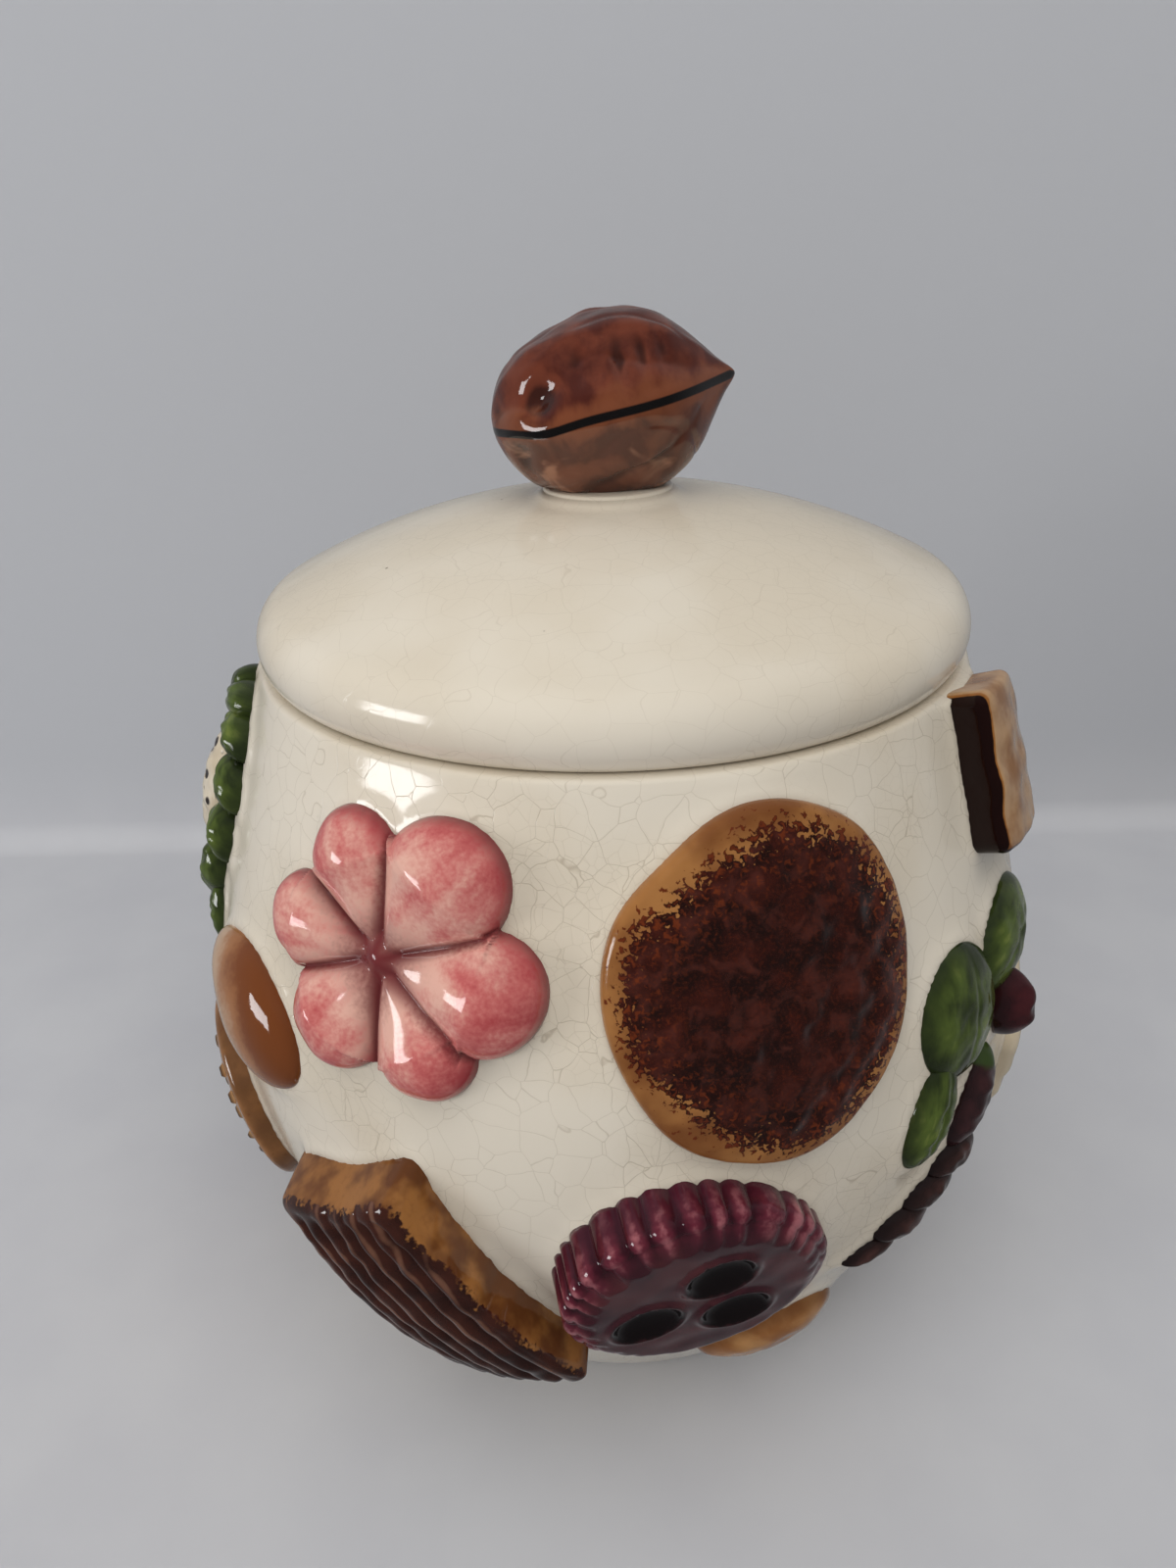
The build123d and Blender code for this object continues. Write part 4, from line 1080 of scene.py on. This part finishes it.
TOASTED_ALMOND = (-53.8, 0.1085, -17)
BACK_ALMOND = (208, 0.128, 35)
ALMOND_RISE = 0.0060
NUT_EDGE = 0.0008            # how far the face of an almond or a peanut stands out at its rim
NUT_ROUND = 0.0006           # radius there


def almond_glaze():
    """Pale tan on one side, toasted to a deep brown on the other, with the border softly blurred."""
    material, tree = glaze("almond_glaze", roughness=0.06)
    cloud = grain(tree, 0.010, detail=3.0)
    fine = grain(tree, 0.0010, detail=3.0)
    load = ragged(tree, ragged(tree, brushed(tree, "toast"), cloud, 0.5), fine, 0.12)
    colour = mottled(tree, load, 0.28, 0.58, (194, 162, 132), (156, 104, 64))
    return fired(material, coats(tree, colour, (load, 0.55, 0.80, 0.0, 1.0, (116, 64, 32))), cloud, 0.0002)


def almond(name, place, half_length, half_width, node):
    """An oval pulled to a point on the left; its height goes by the power 0.55 of one less the share to 2.2."""
    foot = compass(320)[1] * (half_length, half_width)
    narrow = np.clip(-foot[:, :1] / half_length, 0, 1) ** 2
    foot = foot * np.hstack([1 + 0.06 * narrow, 1 - 0.35 * narrow])

    def height(across, up, share):
        """A full dome, nearly a quarter round at its edge."""
        return NUT_EDGE + ALMOND_RISE * np.clip(1 - share**2.2, 0, 1) ** 0.55

    piece, across, up, share = sprig(name, place, foot, height, NUT_ROUND, rings=64, crowd=True)
    paint(piece, "toast", np.clip(0.5 + 0.5 * (across / half_length + 0.9 * up / half_width), 0, 1))
    dress(piece, toasted, "jar", "almond_glaze", node)


toasted = almond_glaze()
almond("toasted_almond_glazed", TOASTED_ALMOND, 0.0220, 0.0148, "toasted_almond")
almond("back_almond_glazed", BACK_ALMOND, 0.0250, 0.0150, "back_almond")

# ======== peanut half ========
# Half a peanut low on the wall, beside the tart: a long low dome with a slight waist, caramel glaze that has
# pooled darker along its lower edge.

PEANUT_HALF = (23, 0.0295, 36)
PEANUT_HALF_LENGTH = 0.0178
PEANUT_HALF_WIDTH = 0.012
PEANUT_RISE = 0.0055


def loop(radius, spokes):
    """A closed outline, counterclockwise, from a function of the angle."""
    angle, ring = compass(spokes)
    return radius(angle)[:, None] * ring


def pooled(name, roughness, size, detail, thin, thick, mask, low, high, pool, share=1.0, depth=0.0002):
    """A glaze of two cloudy tones that has pooled in a third, up to a share, as a mask goes from low to
    high."""
    material, tree = glaze(name, roughness)
    cloud = grain(tree, size, detail)
    colour = mottled(tree, cloud, 0.35, 0.65, thin, thick)
    colour = coats(tree, colour, (brushed(tree, mask), low, high, 0.0, share, pool))
    return fired(material, colour, cloud, depth)


def peanut_height(across, up, share):
    """A dome, by the power 0.6 of one less the share to 2.2, with the unevenness of the nut's skin."""
    dome = np.clip(1 - share**2.2, 0, 1) ** 0.6
    return NUT_EDGE + PEANUT_RISE * dome + 0.0001 * rough(across, up, 0.006, 71)


def peanut_outline(angle):
    """An oval with a waist: its radius dips a little to either side of the middle."""
    oval = 1 / np.hypot(np.cos(angle) / PEANUT_HALF_LENGTH, np.sin(angle) / PEANUT_HALF_WIDTH)
    return oval * (1 - 0.05 * np.abs(np.sin(angle)) ** 6)


peanut, across, up, share = sprig("peanut_half_glazed", PEANUT_HALF, loop(peanut_outline, 240), peanut_height,
                                  NUT_ROUND, rings=48, crowd=True)
paint(peanut, "edge", np.minimum(share, 1))
peanut_brown = pooled("peanut_glaze", 0.08, 0.010, 4.0, (190, 140, 88), (150, 98, 54), "edge", 0.75, 1.0,
                      (96, 58, 34), share=0.6)
dress(peanut, peanut_brown, "jar", "peanut_glaze", "peanut_half")

# ======== leaf wreath ========
# A tall ring of small glossy leaves laid one over the next, with one hanging from its foot, round a cushion
# of icing that has currants in it. The leaves are pressed one by one; the cushion is cast apart and set in.

LEAF_WREATH = (-81.0, 0.1405)
WREATH_HALF_HEIGHT = 0.0235
WREATH_HALF_WIDTH = 0.0125
WREATH_LEAVES = 12
WREATH_SLANT = 34.0          # of a leaf against the ring, degrees
# Half length, half width, rise, how pointed its ends are, depth of its rib.
WREATH_LEAF = (0.0086, 0.0056, 0.0068, 0.25, 0.0004)
HANGING_LEAF = (0.0105, 0.0046, 0.0042, 0.4, 0.0004)
ICING = (0.0190, 0.0092, 0.0088)     # half length, half width, rise
MOUND_EDGE = 0.0006          # how far a small domed piece stands out at its rim
MOUND_ROUND = 0.0005         # radius there


def joined(name, pieces):
    """Several skins kept as one piece, with the numbers of their points."""
    merged = bmesh.new()
    for piece in pieces:
        merged.from_mesh(piece.data)
        bpy.data.objects.remove(piece)
    mesh = bpy.data.meshes.new(name)
    merged.to_mesh(mesh)
    merged.free()
    return placed(name, mesh)


def mound(name, place, half_length, half_width, rise, point=0.0, rib=0.0, seed=1, rings=26, spokes=96):
    """A low dome with an oval plan; point narrows its ends, as a leaf's, and rib presses a line along its
    middle with finer ones slanting off it."""
    cosine, sine = compass(spokes)[1].T
    foot = np.stack([half_length * cosine, half_width * sine * np.abs(sine) ** point], 1)

    def height(across, up, share):
        """The power 0.55 of one less the share to 2.2, less the ribs, with a little unevenness."""
        wave = 0.04 * rise * rough(across, up, 0.35 * half_width + 0.002, seed)
        middle = rib * np.exp(-(up / 0.0007) ** 2)
        slant = np.cos(2 * np.pi * (across + 1.1 * np.abs(up)) / 0.0042)
        middle = middle + 0.16 * rib * slant * np.clip(np.abs(up) / 0.002, 0, 1)
        dome = np.clip(1 - share**2.2, 0, 1) ** 0.55
        return MOUND_EDGE + (rise - MOUND_EDGE) * dome + (wave - middle) * (1 - share**2)

    piece, across, up, share = sprig(name, place, foot, height, MOUND_ROUND, rings=rings, crowd=True)
    paint(piece, "share", share)
    paint(piece, "along", across / half_length)
    paint(piece, "aside", up / half_width)
    return piece


def leaf_glaze():
    """Green brushed thin over cream: yellow-green where the leaf is full, nearly black-green at its rim."""
    material, tree = glaze("leaf_glaze", roughness=0.07)
    stroke = strokes(tree, brushed(tree, "along"), brushed(tree, "aside"), 1.2, 3.0, 1.5, 4.0)
    cloud = grain(tree, 0.008, detail=3.0)
    load = maths(tree, "ADD", maths(tree, "MULTIPLY", stroke, 0.6), maths(tree, "MULTIPLY", cloud, 0.7))
    colour = coats(
        tree, mottled(tree, load, 0.50, 0.82, (84, 100, 44), (46, 56, 27)),
        (load, 0.46, 0.56, 0.5, 0.0, (120, 130, 66)),
        (brushed(tree, "share"), 0.62, 1.0, 0.0, 0.75, (30, 38, 20)),
    )
    return fired(material, colour, stroke, 0.0002)


def icing_glaze():
    """Cream icing, a little warmer in cloudy patches, with dark currants where a piece has them."""
    material, tree = glaze("icing_glaze", roughness=0.10)
    cloud = grain(tree, 0.006, detail=3.0)
    colour = mottled(tree, cloud, 0.3, 0.7, (228, 218, 200), (206, 190, 164))
    place = add(tree, "TexCoord").outputs["Object"]
    dots = add(tree, "TexVoronoi", {"Vector": place, "Scale": 260.0, "Randomness": 0.85}, feature="F1")
    spot = between(tree, dots.outputs["Distance"], 0.26, 0.36, 1.0, 0.0)
    spot = maths(tree, "MULTIPLY", spot, brushed(tree, "currants"))
    height = maths(tree, "SUBTRACT", cloud, maths(tree, "MULTIPLY", spot, 0.5))
    return fired(material, layer(tree, spot, colour, tint(34, 24, 22)), height, 0.0005)


leaf_green = leaf_glaze()
icing = icing_glaze()


def beside(place, across, up, turn):
    """The place that lies across and up from another, along the wall."""
    height = climbed(place[1], up)
    return place[0] + np.degrees(across / wall_radius(height)), float(height), turn


wreath_leaves = []
for number in range(WREATH_LEAVES):
    step = np.radians((number + 0.5) * 360 / WREATH_LEAVES)
    across, up = WREATH_HALF_WIDTH * np.cos(step), WREATH_HALF_HEIGHT * np.sin(step)
    ring_way = np.degrees(np.arctan2(WREATH_HALF_HEIGHT * np.cos(step), -WREATH_HALF_WIDTH * np.sin(step)))
    leaf = beside(LEAF_WREATH, across, up, ring_way + WREATH_SLANT)
    wreath_leaves.append(mound(f"wreath_leaf_{number}", leaf, *WREATH_LEAF, 80 + number))
wreath_leaves.append(mound("hanging_leaf", beside(LEAF_WREATH, 0.0105, -0.0260, 112), *HANGING_LEAF, 93))
dress(joined("leaf_wreath_glazed", wreath_leaves), leaf_green, "jar", "leaf_glaze", "leaf_wreath")
iced_centre = mound("iced_centre_glazed", (*LEAF_WREATH, 90), *ICING, seed=94, rings=48, spokes=180)
paint(iced_centre, "currants", np.ones(len(iced_centre.data.vertices)))
dress(iced_centre, icing, "jar", "icing_glaze", "iced_centre")

# ======== plain biscuits ========
# Plain baked rounds and squares, pressed in moulds: a thick one stuck with currants, a cracked ginger round
# and a square cracker with docking holes. All share one tawny glaze, browner at the edges.

CURRANT_BISCUIT = (-75.5, 0.062, 0)
GINGER_ROUND = (97, 0.131, 0)
SQUARE_CRACKER = (80, 0.066, 12)
CURRANT_RADIUS = 0.0250
CURRANT_THICK = 0.0074
CURRANT_EDGE = 0.0022
GINGER_RADIUS = 0.0240
GINGER_THICK = 0.0046
CRACKER_HALF = 0.0215
CRACKER_CORNER = 0.004
CRACKER_THICK = 0.0046
CRACKER_PALE = 0.85          # how far its glaze is bleached
DOCKING_PITCH = 0.012
DOCKING_RADIUS = 0.0014
DOCKING_DEPTH = 0.0024


def biscuit_glaze():
    """Tawny, paler on the full parts and brown where it is low or near the rim, with fine dark specks."""
    material, tree = glaze("biscuit_glaze", roughness=0.10)
    cloud = grain(tree, 0.009, detail=4.0)
    load = ragged(tree, brushed(tree, "bake"), cloud, 0.9)
    colour = coats(
        tree, mottled(tree, load, 0.1, 0.6, (196, 154, 108), (158, 110, 68)),
        (load, 0.6, 1.05, 0.0, 1.0, (112, 76, 48)),
        (grain(tree, 0.0016, detail=2.0), 0.64, 0.72, 0.0, 0.5, (104, 62, 36)),
    )
    colour = layer(tree, brushed(tree, "pale"), colour, tint(214, 201, 176))
    # dark is the currants' own colour, and painted shade in the cracker's docking holes.
    colour = layer(tree, brushed(tree, "dark"), colour, tint(40, 26, 22))
    return fired(material, colour, cloud, 0.00025)


tawny = biscuit_glaze()


def biscuit(name, place, foot, height, node, edge=0.0018, dark=None, rings=64, pale=0.0):
    """A biscuit on the wall; bake grows towards its rim and down its side, dark marks what is stuck in it and,
    on the cracker, painted shade in its docking holes.
    """
    piece, across, up, share = sprig(name, place, foot, height, edge, rings=rings)
    paint(piece, "bake", np.clip(share - 0.45, 0, 0.9))
    paint(piece, "dark", np.clip(dark(across, up, share), 0, 1) if dark else 0 * share)
    paint(piece, "pale", pale + 0 * share)
    dress(piece, tawny, "jar", "biscuit_glaze", node)


def circle(radius, spokes=300):
    """A round outline."""
    return loop(lambda angle: radius + 0 * angle, spokes)


def currants(across, up, share):
    """Bell curves where the currants sit: where two crossed sets of waves both crest."""
    bumps = np.sin(across / 0.0017 + 1.3 * np.sin(up / 0.006))
    bumps = bumps * np.sin(up / 0.0019 + 1.1 * np.sin(across / 0.005))
    return np.clip((bumps - 0.45) / 0.3, 0, 1) * np.where(share > 0.80, 0, 1)


def currant_height(across, up, share):
    """A crowned face with the currants standing out of it."""
    return CURRANT_THICK - 0.0014 * share**3 + 0.0010 * currants(across, up, share) * (share < 0.97)


def ginger_height(across, up, share):
    """A low crown, split by cracks where a slow unevenness crosses nought."""
    split = rough(across, up, 0.011, 102)
    return GINGER_THICK - 0.0010 * share**3 - 0.0009 * np.exp(-(split / 0.07) ** 2) * (1 - share**6)


def docking(across, up):
    """How near the nearest of nine docking holes is, 1 in its middle."""
    off = (way - DOCKING_PITCH * np.clip(np.round(way / DOCKING_PITCH), -1, 1) for way in (across, up))
    return np.exp(-(np.hypot(*off) / DOCKING_RADIUS) ** 4)


def cracker_height(across, up, share):
    """A flat face, blistered a little, with its docking holes."""
    blister = 0.00035 * rough(across, up, 0.009, 103)
    return CRACKER_THICK + blister - DOCKING_DEPTH * docking(across, up) - 0.0005 * share**6


biscuit("currant_biscuit_glazed", CURRANT_BISCUIT, circle(CURRANT_RADIUS, 360), currant_height,
        "currant_biscuit", CURRANT_EDGE, currants, 90)
biscuit("ginger_round_glazed", GINGER_ROUND, circle(GINGER_RADIUS), ginger_height, "ginger_round", rings=90)
cracker_foot = rounded_rectangle(CRACKER_HALF, CRACKER_HALF, CRACKER_CORNER, 360)
# Its docking holes are painted nearly black: painted shade.
biscuit("square_cracker_glazed", SQUARE_CRACKER, cracker_foot, cracker_height, "square_cracker", rings=90,
        pale=CRACKER_PALE, dark=lambda across, up, share: 0.8 * docking(across, up) * (share < 1))

# ======== star and shell ========
# Two pressed biscuits in the same tawny glaze: a blunt five-pointed star with a drop of jam in its middle,
# and a fan-shaped sponge with ribs spreading from a square heel.

STAR_BISCUIT = (172, 0.132, 0)
SHELL_BISCUIT = (243, 0.132, 0)
STAR_REACH = 0.029
STAR_WAIST = 0.0165
STAR_HALF = np.pi / 5        # from a point to the waist beside it
STAR_THICK = 0.0050
STAR_EDGE = 0.0015
JAM_DROP = (0.0088, 0.0088, 0.0098)      # half length, half width, rise
SHELL_HALF_WIDTH = 0.026
SHELL_HALF_HEIGHT = 0.023
SHELL_THICK = 0.0056
SHELL_HEEL = 0.024           # how far below the middle the ribs spread from


def off_point(angle):
    """The angle from the nearest of the star's points; the first point is straight up."""
    return np.abs((angle - np.pi / 2 + STAR_HALF) % (2 * STAR_HALF) - STAR_HALF)


def star_reach(angle):
    """Along each side the outline is the straight line from a point's tip to the waist, in polar form."""
    off = off_point(angle)
    line = STAR_REACH * np.sin(off) + STAR_WAIST * np.sin(STAR_HALF - off)
    reach = STAR_REACH * STAR_WAIST * np.sin(STAR_HALF) / line
    return np.minimum(reach, STAR_REACH - 0.0022 + 0.0008 * np.cos(6 * off))


def star_height(across, up, share):
    """Highest along the line to each point."""
    off = off_point(np.arctan2(up, across))
    ridge = 0.0014 * np.exp(-(off / 0.20) ** 2) * np.clip(share * 2.5 - 0.6, 0, 1)
    return STAR_THICK + ridge - 0.0008 * share**4 + 0.00015 * rough(across, up, 0.007, 111)


def shell_reach(angle):
    """The further of an oval and a square heel below it."""
    oval = 1 / np.hypot(np.cos(angle) / SHELL_HALF_WIDTH, np.sin(angle) / SHELL_HALF_HEIGHT)
    heel_side = 0.010 / np.maximum(np.abs(np.cos(angle)), 1e-3)
    heel = np.minimum(heel_side, 0.025 / np.maximum(-np.sin(angle), 1e-3))
    return np.where(np.sin(angle) < -0.5, np.maximum(oval, np.minimum(heel, 0.0262)), oval)


def shell_height(across, up, share):
    """Rounded ribs that spread from the heel, on a crowned face."""
    fan = np.arctan2(across, up + SHELL_HEEL)
    grown = np.clip((np.hypot(across, up + SHELL_HEEL) - 0.008) / 0.01, 0, 1)
    ribs = np.abs(np.cos(fan * 8.5)) ** 0.8 * grown
    return SHELL_THICK + 0.0013 * ribs - 0.0012 * share**4


biscuit("star_biscuit_glazed", STAR_BISCUIT, loop(star_reach, 400), star_height, "star_biscuit", STAR_EDGE,
        rings=80)
biscuit("shell_biscuit_glazed", SHELL_BISCUIT, loop(shell_reach, 400), shell_height, "shell_biscuit", rings=90)
# A clear dark red, nearly black in its own shade, that has pooled at the foot.
jam_red = pooled("cherry_glaze", 0.05, 0.006, 3.0, (66, 28, 32), (44, 20, 24), "share", 0.7, 1.1,
                 (36, 16, 18), depth=0.0001)
star_jam = mound("star_jam_glazed", STAR_BISCUIT, *JAM_DROP, seed=112, rings=40, spokes=120)
dress(star_jam, jam_red, "jar", "cherry_glaze", "star_jam")

# ======== iced ring ========
# A ring biscuit under white icing: a round tube bent into a ring, cast whole, a little uneven on its crown
# and sunk a little into the wall. It has the icing's glaze and no currants.

ICED_RING = (133, 0.128, 0)
RING_RADIUS = 0.0175
RING_TUBE = 0.0080
RING_SINK = 0.0005
RING_CLEAR = 0.0001          # how far the outline stays inside the tube, where its side is upright


def ring_height(across, up, share):
    """A round tube bent into a ring; in the middle it stays below the wall."""
    off = np.hypot(across, up) - RING_RADIUS
    tube = np.sqrt(np.clip(RING_TUBE**2 - off**2, 0, None)) - RING_SINK
    drip = 0.0004 * rough(across, up, 0.009, 121)
    return np.where(np.abs(off) < RING_TUBE, tube + drip * np.clip(tube / 0.004, 0, 1), -RING_SINK)


ring_foot = circle(RING_RADIUS + RING_TUBE - RING_CLEAR)
iced_ring, across, up, share = sprig("iced_ring_glazed", ICED_RING, ring_foot, ring_height, rings=130)
paint(iced_ring, "currants", 0.0 * share)
dress(iced_ring, icing, "jar", "icing_glaze", "iced_ring")

# ======== leaf spray ========
# Two leaves and a cut stalk laid over each other on the right-hand side, with a dark cherry on them and a
# slice of plum beside the stalk. Each is pressed by itself and luted on with slip.

LEAF_SPRAY = (45.0, 0.105)
GLACE_CHERRY = (55.6, 0.1050, 82)
PLUM_SLICE = (48.3, 0.0876, 62)
# Each form: place across and up from the middle, turn, then half length, half width, rise, how pointed its
# ends are, depth of its rib, seed, rings and spokes.
SPRAY = {
    "spray_leaf_round": (-0.0007, 0.0070, 80, 0.0152, 0.0134, 0.0052, 0.06, 0.0002, 131, 48, 200),
    "spray_leaf_upper": (0.0222, 0.0140, 25, 0.0152, 0.0096, 0.0052, 0.10, 0.0002, 132, 40, 180),
    "spray_stalk": (-0.0108, -0.0120, 70, 0.0135, 0.0064, 0.0050, 0.0, 0.0003, 133, 36, 160),
}
# Half length, half width, rise, how pointed its ends are.
CHERRY = (0.0088, 0.0054, 0.0088, 0.22)
PLUM = (0.0126, 0.0057, 0.0050, 0.05)

spray = [mound(name, beside(LEAF_SPRAY, *form[:3]), *form[3:]) for name, form in SPRAY.items()]
dress(joined("leaf_spray_glazed", spray), leaf_green, "jar", "leaf_glaze", "leaf_spray")
cherry = mound("glace_cherry_glazed", GLACE_CHERRY, *CHERRY, seed=134, rings=40, spokes=120)
dress(cherry, jam_red, "jar", "cherry_glaze", "glace_cherry")


def plum_glaze():
    """Purple-brown, darker towards the foot, with a green end."""
    material, tree = glaze("plum_glaze", roughness=0.06)
    cloud = grain(tree, 0.008, detail=3.0)
    colour = coats(
        tree, mottled(tree, cloud, 0.35, 0.65, (70, 40, 42), (44, 28, 30)),
        (brushed(tree, "share"), 0.7, 1.1, 0.0, 1.0, (30, 18, 20)),
        (ragged(tree, brushed(tree, "along"), cloud, 0.5), 0.52, 0.66, 0.0, 1.0, (56, 72, 36)),
    )
    return fired(material, colour, cloud, 0.0002)


plum = mound("plum_slice_glazed", PLUM_SLICE, *PLUM, seed=135, rings=40, spokes=150)
dress(plum, plum_glaze(), "jar", "plum_glaze", "plum_slice")

# ======== chocolate twist ========
# A rope of dark paste, rolled, twisted and pressed on aslant: slanting beads that overlap, the lowest drawn
# out to a point.

CHOCOLATE_TWIST = (40.3, 0.0656, 43)
TWIST_BEADS = 4
TWIST_PITCH = 0.0088
BEAD_TURN = -30              # of a bead against the rope, degrees
# Half length, half width, rise, how pointed its ends are.
BEAD = (0.0086, 0.0047, 0.0048, 0.08)
LAST_BEAD = (0.0086, 0.0036, 0.0038, 0.35)

beads = []
rope = np.radians(CHOCOLATE_TWIST[2])
for number in range(TWIST_BEADS):
    run = (number - (TWIST_BEADS - 1) / 2) * TWIST_PITCH
    bead = beside(CHOCOLATE_TWIST, run * np.cos(rope), run * np.sin(rope), CHOCOLATE_TWIST[2] + BEAD_TURN)
    beads.append(mound(f"bead_{number}", bead, *(BEAD if number else LAST_BEAD), seed=140 + number))
# Near-black brown, a warmer maroon on the crowns of the beads.
maroon = pooled("twist_glaze", 0.08, 0.007, 3.0, (78, 50, 46), (50, 34, 32), "share", 0.55, 1.0, (28, 18, 18))
dress(joined("chocolate_twist_glazed", beads), maroon, "jar", "twist_glaze", "chocolate_twist")

# ======== slip round the raised pieces ========
# Each piece was luted on with slip and glazed over, so the cream glaze climbs a little round its foot.

SLIP_RISE = 0.0013
SLIP_REACH = 0.0021      # over which it falls to about a third
body_points = body_rings.reshape(-1, 3)
body_out = np.zeros(len(body_points))
on_outside = np.repeat(np.abs(body_profile[:, 0] - wall_radius(body_profile[:, 1])) < 1e-5, BODY_SPOKES)
point_turn = np.arctan2(body_points[:, 0], -body_points[:, 1])
point_run = np.interp(body_points[:, 2], wall_heights, wall_runs)
for place, foot in footprints:
    rise = point_run - np.interp(place[1], wall_heights, wall_runs)
    level = wrapped(point_turn - np.radians(place[0])) * np.hypot(*body_points[:, :2].T)
    spot = np.stack(swung(level, rise, -place[2]), 1)
    reach = np.hypot(*foot.T).max() + 5 * SLIP_REACH
    near = np.flatnonzero(on_outside & (np.hypot(*spot.T) < reach))
    distance = np.sqrt(((spot[near, None] - foot[None, ::2]) ** 2).sum(-1).min(1))
    body_out[near] = np.maximum(body_out[near], SLIP_RISE * np.exp(-distance / SLIP_REACH))
lean = np.arctan(-wall_slope(body_points[:, 2]))
ways = np.stack([np.sin(point_turn) * np.cos(lean), -np.cos(point_turn) * np.cos(lean), np.sin(lean)], 1)
slipped = np.vstack([body_points + ways * body_out[:, None], [floor_middle, recess_middle]])
jar_body.data.vertices.foreach_set("co", slipped.astype(np.float32).reshape(-1))
jar_body.data.update()

# ======== studio ========
# A sheet of pale paper, laid flat and turned up behind the jar, a broad soft light overhead and a window-like
# light low on the left. The camera looks down at the jar from just in front of it.

BACKDROP_FROM = 0.215    # behind the jar's middle
BACKDROP_TURN = 0.012    # radius of the fold
BACKDROP_REACH = 2.5     # forward and to each side
BACKDROP_TOP = 2.2
OVERHEAD_PLACE = (0.05, -0.70, 1.25)
WINDOW_PLACE = (-1.83, -0.81, 0.30)
LAMPS_AIM = (0, 0, 0.12)
sheet_line = np.vstack([
    [(-BACKDROP_REACH, 0.0)],
    arc((BACKDROP_FROM - BACKDROP_TURN, BACKDROP_TURN), BACKDROP_TURN, -np.pi / 2, 0, 8),
    [(BACKDROP_FROM, BACKDROP_TOP)],
])
sheet_across = np.array([-BACKDROP_REACH, BACKDROP_REACH])
paper = bpy.data.meshes.new("paper_backdrop")
paper_points = np.stack([
    sheet_across + 0 * sheet_line[:, :1],
    sheet_line[:, :1] + 0 * sheet_across,
    sheet_line[:, 1:] + 0 * sheet_across,
], -1).reshape(-1, 3)
strips = np.arange(len(sheet_line) - 1)[:, None] * 2
paper.from_pydata(paper_points, [], np.hstack([strips, strips + 1, strips + 3, strips + 2]))
paper.shade_smooth()
backdrop = placed("paper_backdrop", paper)
card = bpy.data.materials.new("paper")
card.use_nodes = True
sheet = card.node_tree
paper_shader = sheet.nodes["Principled BSDF"]
paper_shader.inputs["Roughness"].default_value = 0.8
upright = add(sheet, "SeparateXYZ", {0: add(sheet, "TexCoord").outputs["Object"]}).outputs["Z"]
# The upright part of the sheet is painted a little greyer than the part laid flat: painted shade.
paper_colour = coats(
    sheet, mottled(sheet, grain(sheet, 0.05, detail=4.0), 0.3, 0.7, (202, 203, 207), (197, 198, 203)),
    (upright, 0.0, 0.05, 0.0, 1.0, (189, 191, 196)),
)
sheet.links.new(paper_colour, paper_shader.inputs["Base Color"])
# Seen from behind, the sheet is clear, so that it doesn't hide the jar's back.
behind = add(sheet, "NewGeometry").outputs["Backfacing"]
clear = add(sheet, "BsdfTransparent").outputs[0]
either = add(sheet, "MixShader", {0: behind, 1: paper_shader.outputs[0], 2: clear})
sheet.links.new(either.outputs[0], sheet.nodes["Material Output"].inputs["Surface"])
backdrop.data.materials.append(card)
# The glaze mirrors the dim room in front and not the paper.
backdrop.visible_glossy = False


def lamp(name, place, width, depth, power, colour):
    """A rectangular soft light at a place, facing the jar."""
    data = bpy.data.lights.new(name, "AREA")
    data.shape = "RECTANGLE"
    data.size, data.size_y = width, depth
    data.energy = power
    data.color = colour
    thing = placed(name, data)
    thing.rotation_euler = (Vector(LAMPS_AIM) - Vector(place)).to_track_quat("-Z", "Y").to_euler()
    thing.location = place
    return thing


overhead = lamp("overhead", OVERHEAD_PLACE, 1.6, 1.6, 16.5, (1.0, 0.985, 0.955))
# The glaze doesn't mirror the overhead light, as if it were filtered; it mirrors the window.
overhead.visible_glossy = False
lamp("window", WINDOW_PLACE, 0.77, 0.54, 12.0, (1.0, 1.0, 1.0))

world = bpy.data.worlds.new("studio")
world.use_nodes = True
# The room is dim behind the camera and brighter above and beyond the jar.
sky = world.node_tree
ways = add(sky, "SeparateXYZ", {"Vector": add(sky, "TexCoord").outputs["Generated"]}).outputs
beyond = between(sky, ways["Y"], -0.5, 0.4, 0.09, 0.26)
above = between(sky, ways["Z"], 0.15, 0.8, 0.0, 0.14)
glow = maths(sky, "MAXIMUM", beyond, above)
sky.nodes["Background"].inputs["Color"].default_value = (0.96, 0.97, 1.0, 1)
sky.links.new(glow, sky.nodes["Background"].inputs["Strength"])
bpy.context.scene.world = world

CAMERA_PLACE = (0.0, -0.25888, 0.25860)
CAMERA_PITCH = np.radians(26.18)
CAMERA_YAW = np.radians(-1.484)
CAMERA_ROLL = np.radians(-1.987)
SENSOR = 36.0
FRAME_HEIGHT = 1600      # pixels
FOCAL_LENGTH = 1176.6    # in the same pixels
ahead = np.array([
    np.sin(CAMERA_YAW) * np.cos(CAMERA_PITCH),
    np.cos(CAMERA_YAW) * np.cos(CAMERA_PITCH),
    -np.sin(CAMERA_PITCH),
])
level_right = np.cross(ahead, (0, 0, 1))
level_right /= np.linalg.norm(level_right)
level_up = np.cross(level_right, ahead)
right = level_right * np.cos(CAMERA_ROLL) + level_up * np.sin(CAMERA_ROLL)
upward = -level_right * np.sin(CAMERA_ROLL) + level_up * np.cos(CAMERA_ROLL)
lens = bpy.data.cameras.new("camera")
lens.sensor_width = SENSOR
lens.lens = SENSOR * FOCAL_LENGTH / FRAME_HEIGHT
lens.clip_start = 0.01
camera = placed("camera", lens)
camera_rows = np.vstack([np.column_stack([right, upward, -ahead, CAMERA_PLACE]), (0, 0, 0, 1)])
camera.matrix_world = Matrix(camera_rows.tolist())
bpy.context.scene.camera = camera
bpy.context.scene.view_settings.view_transform = "Standard"
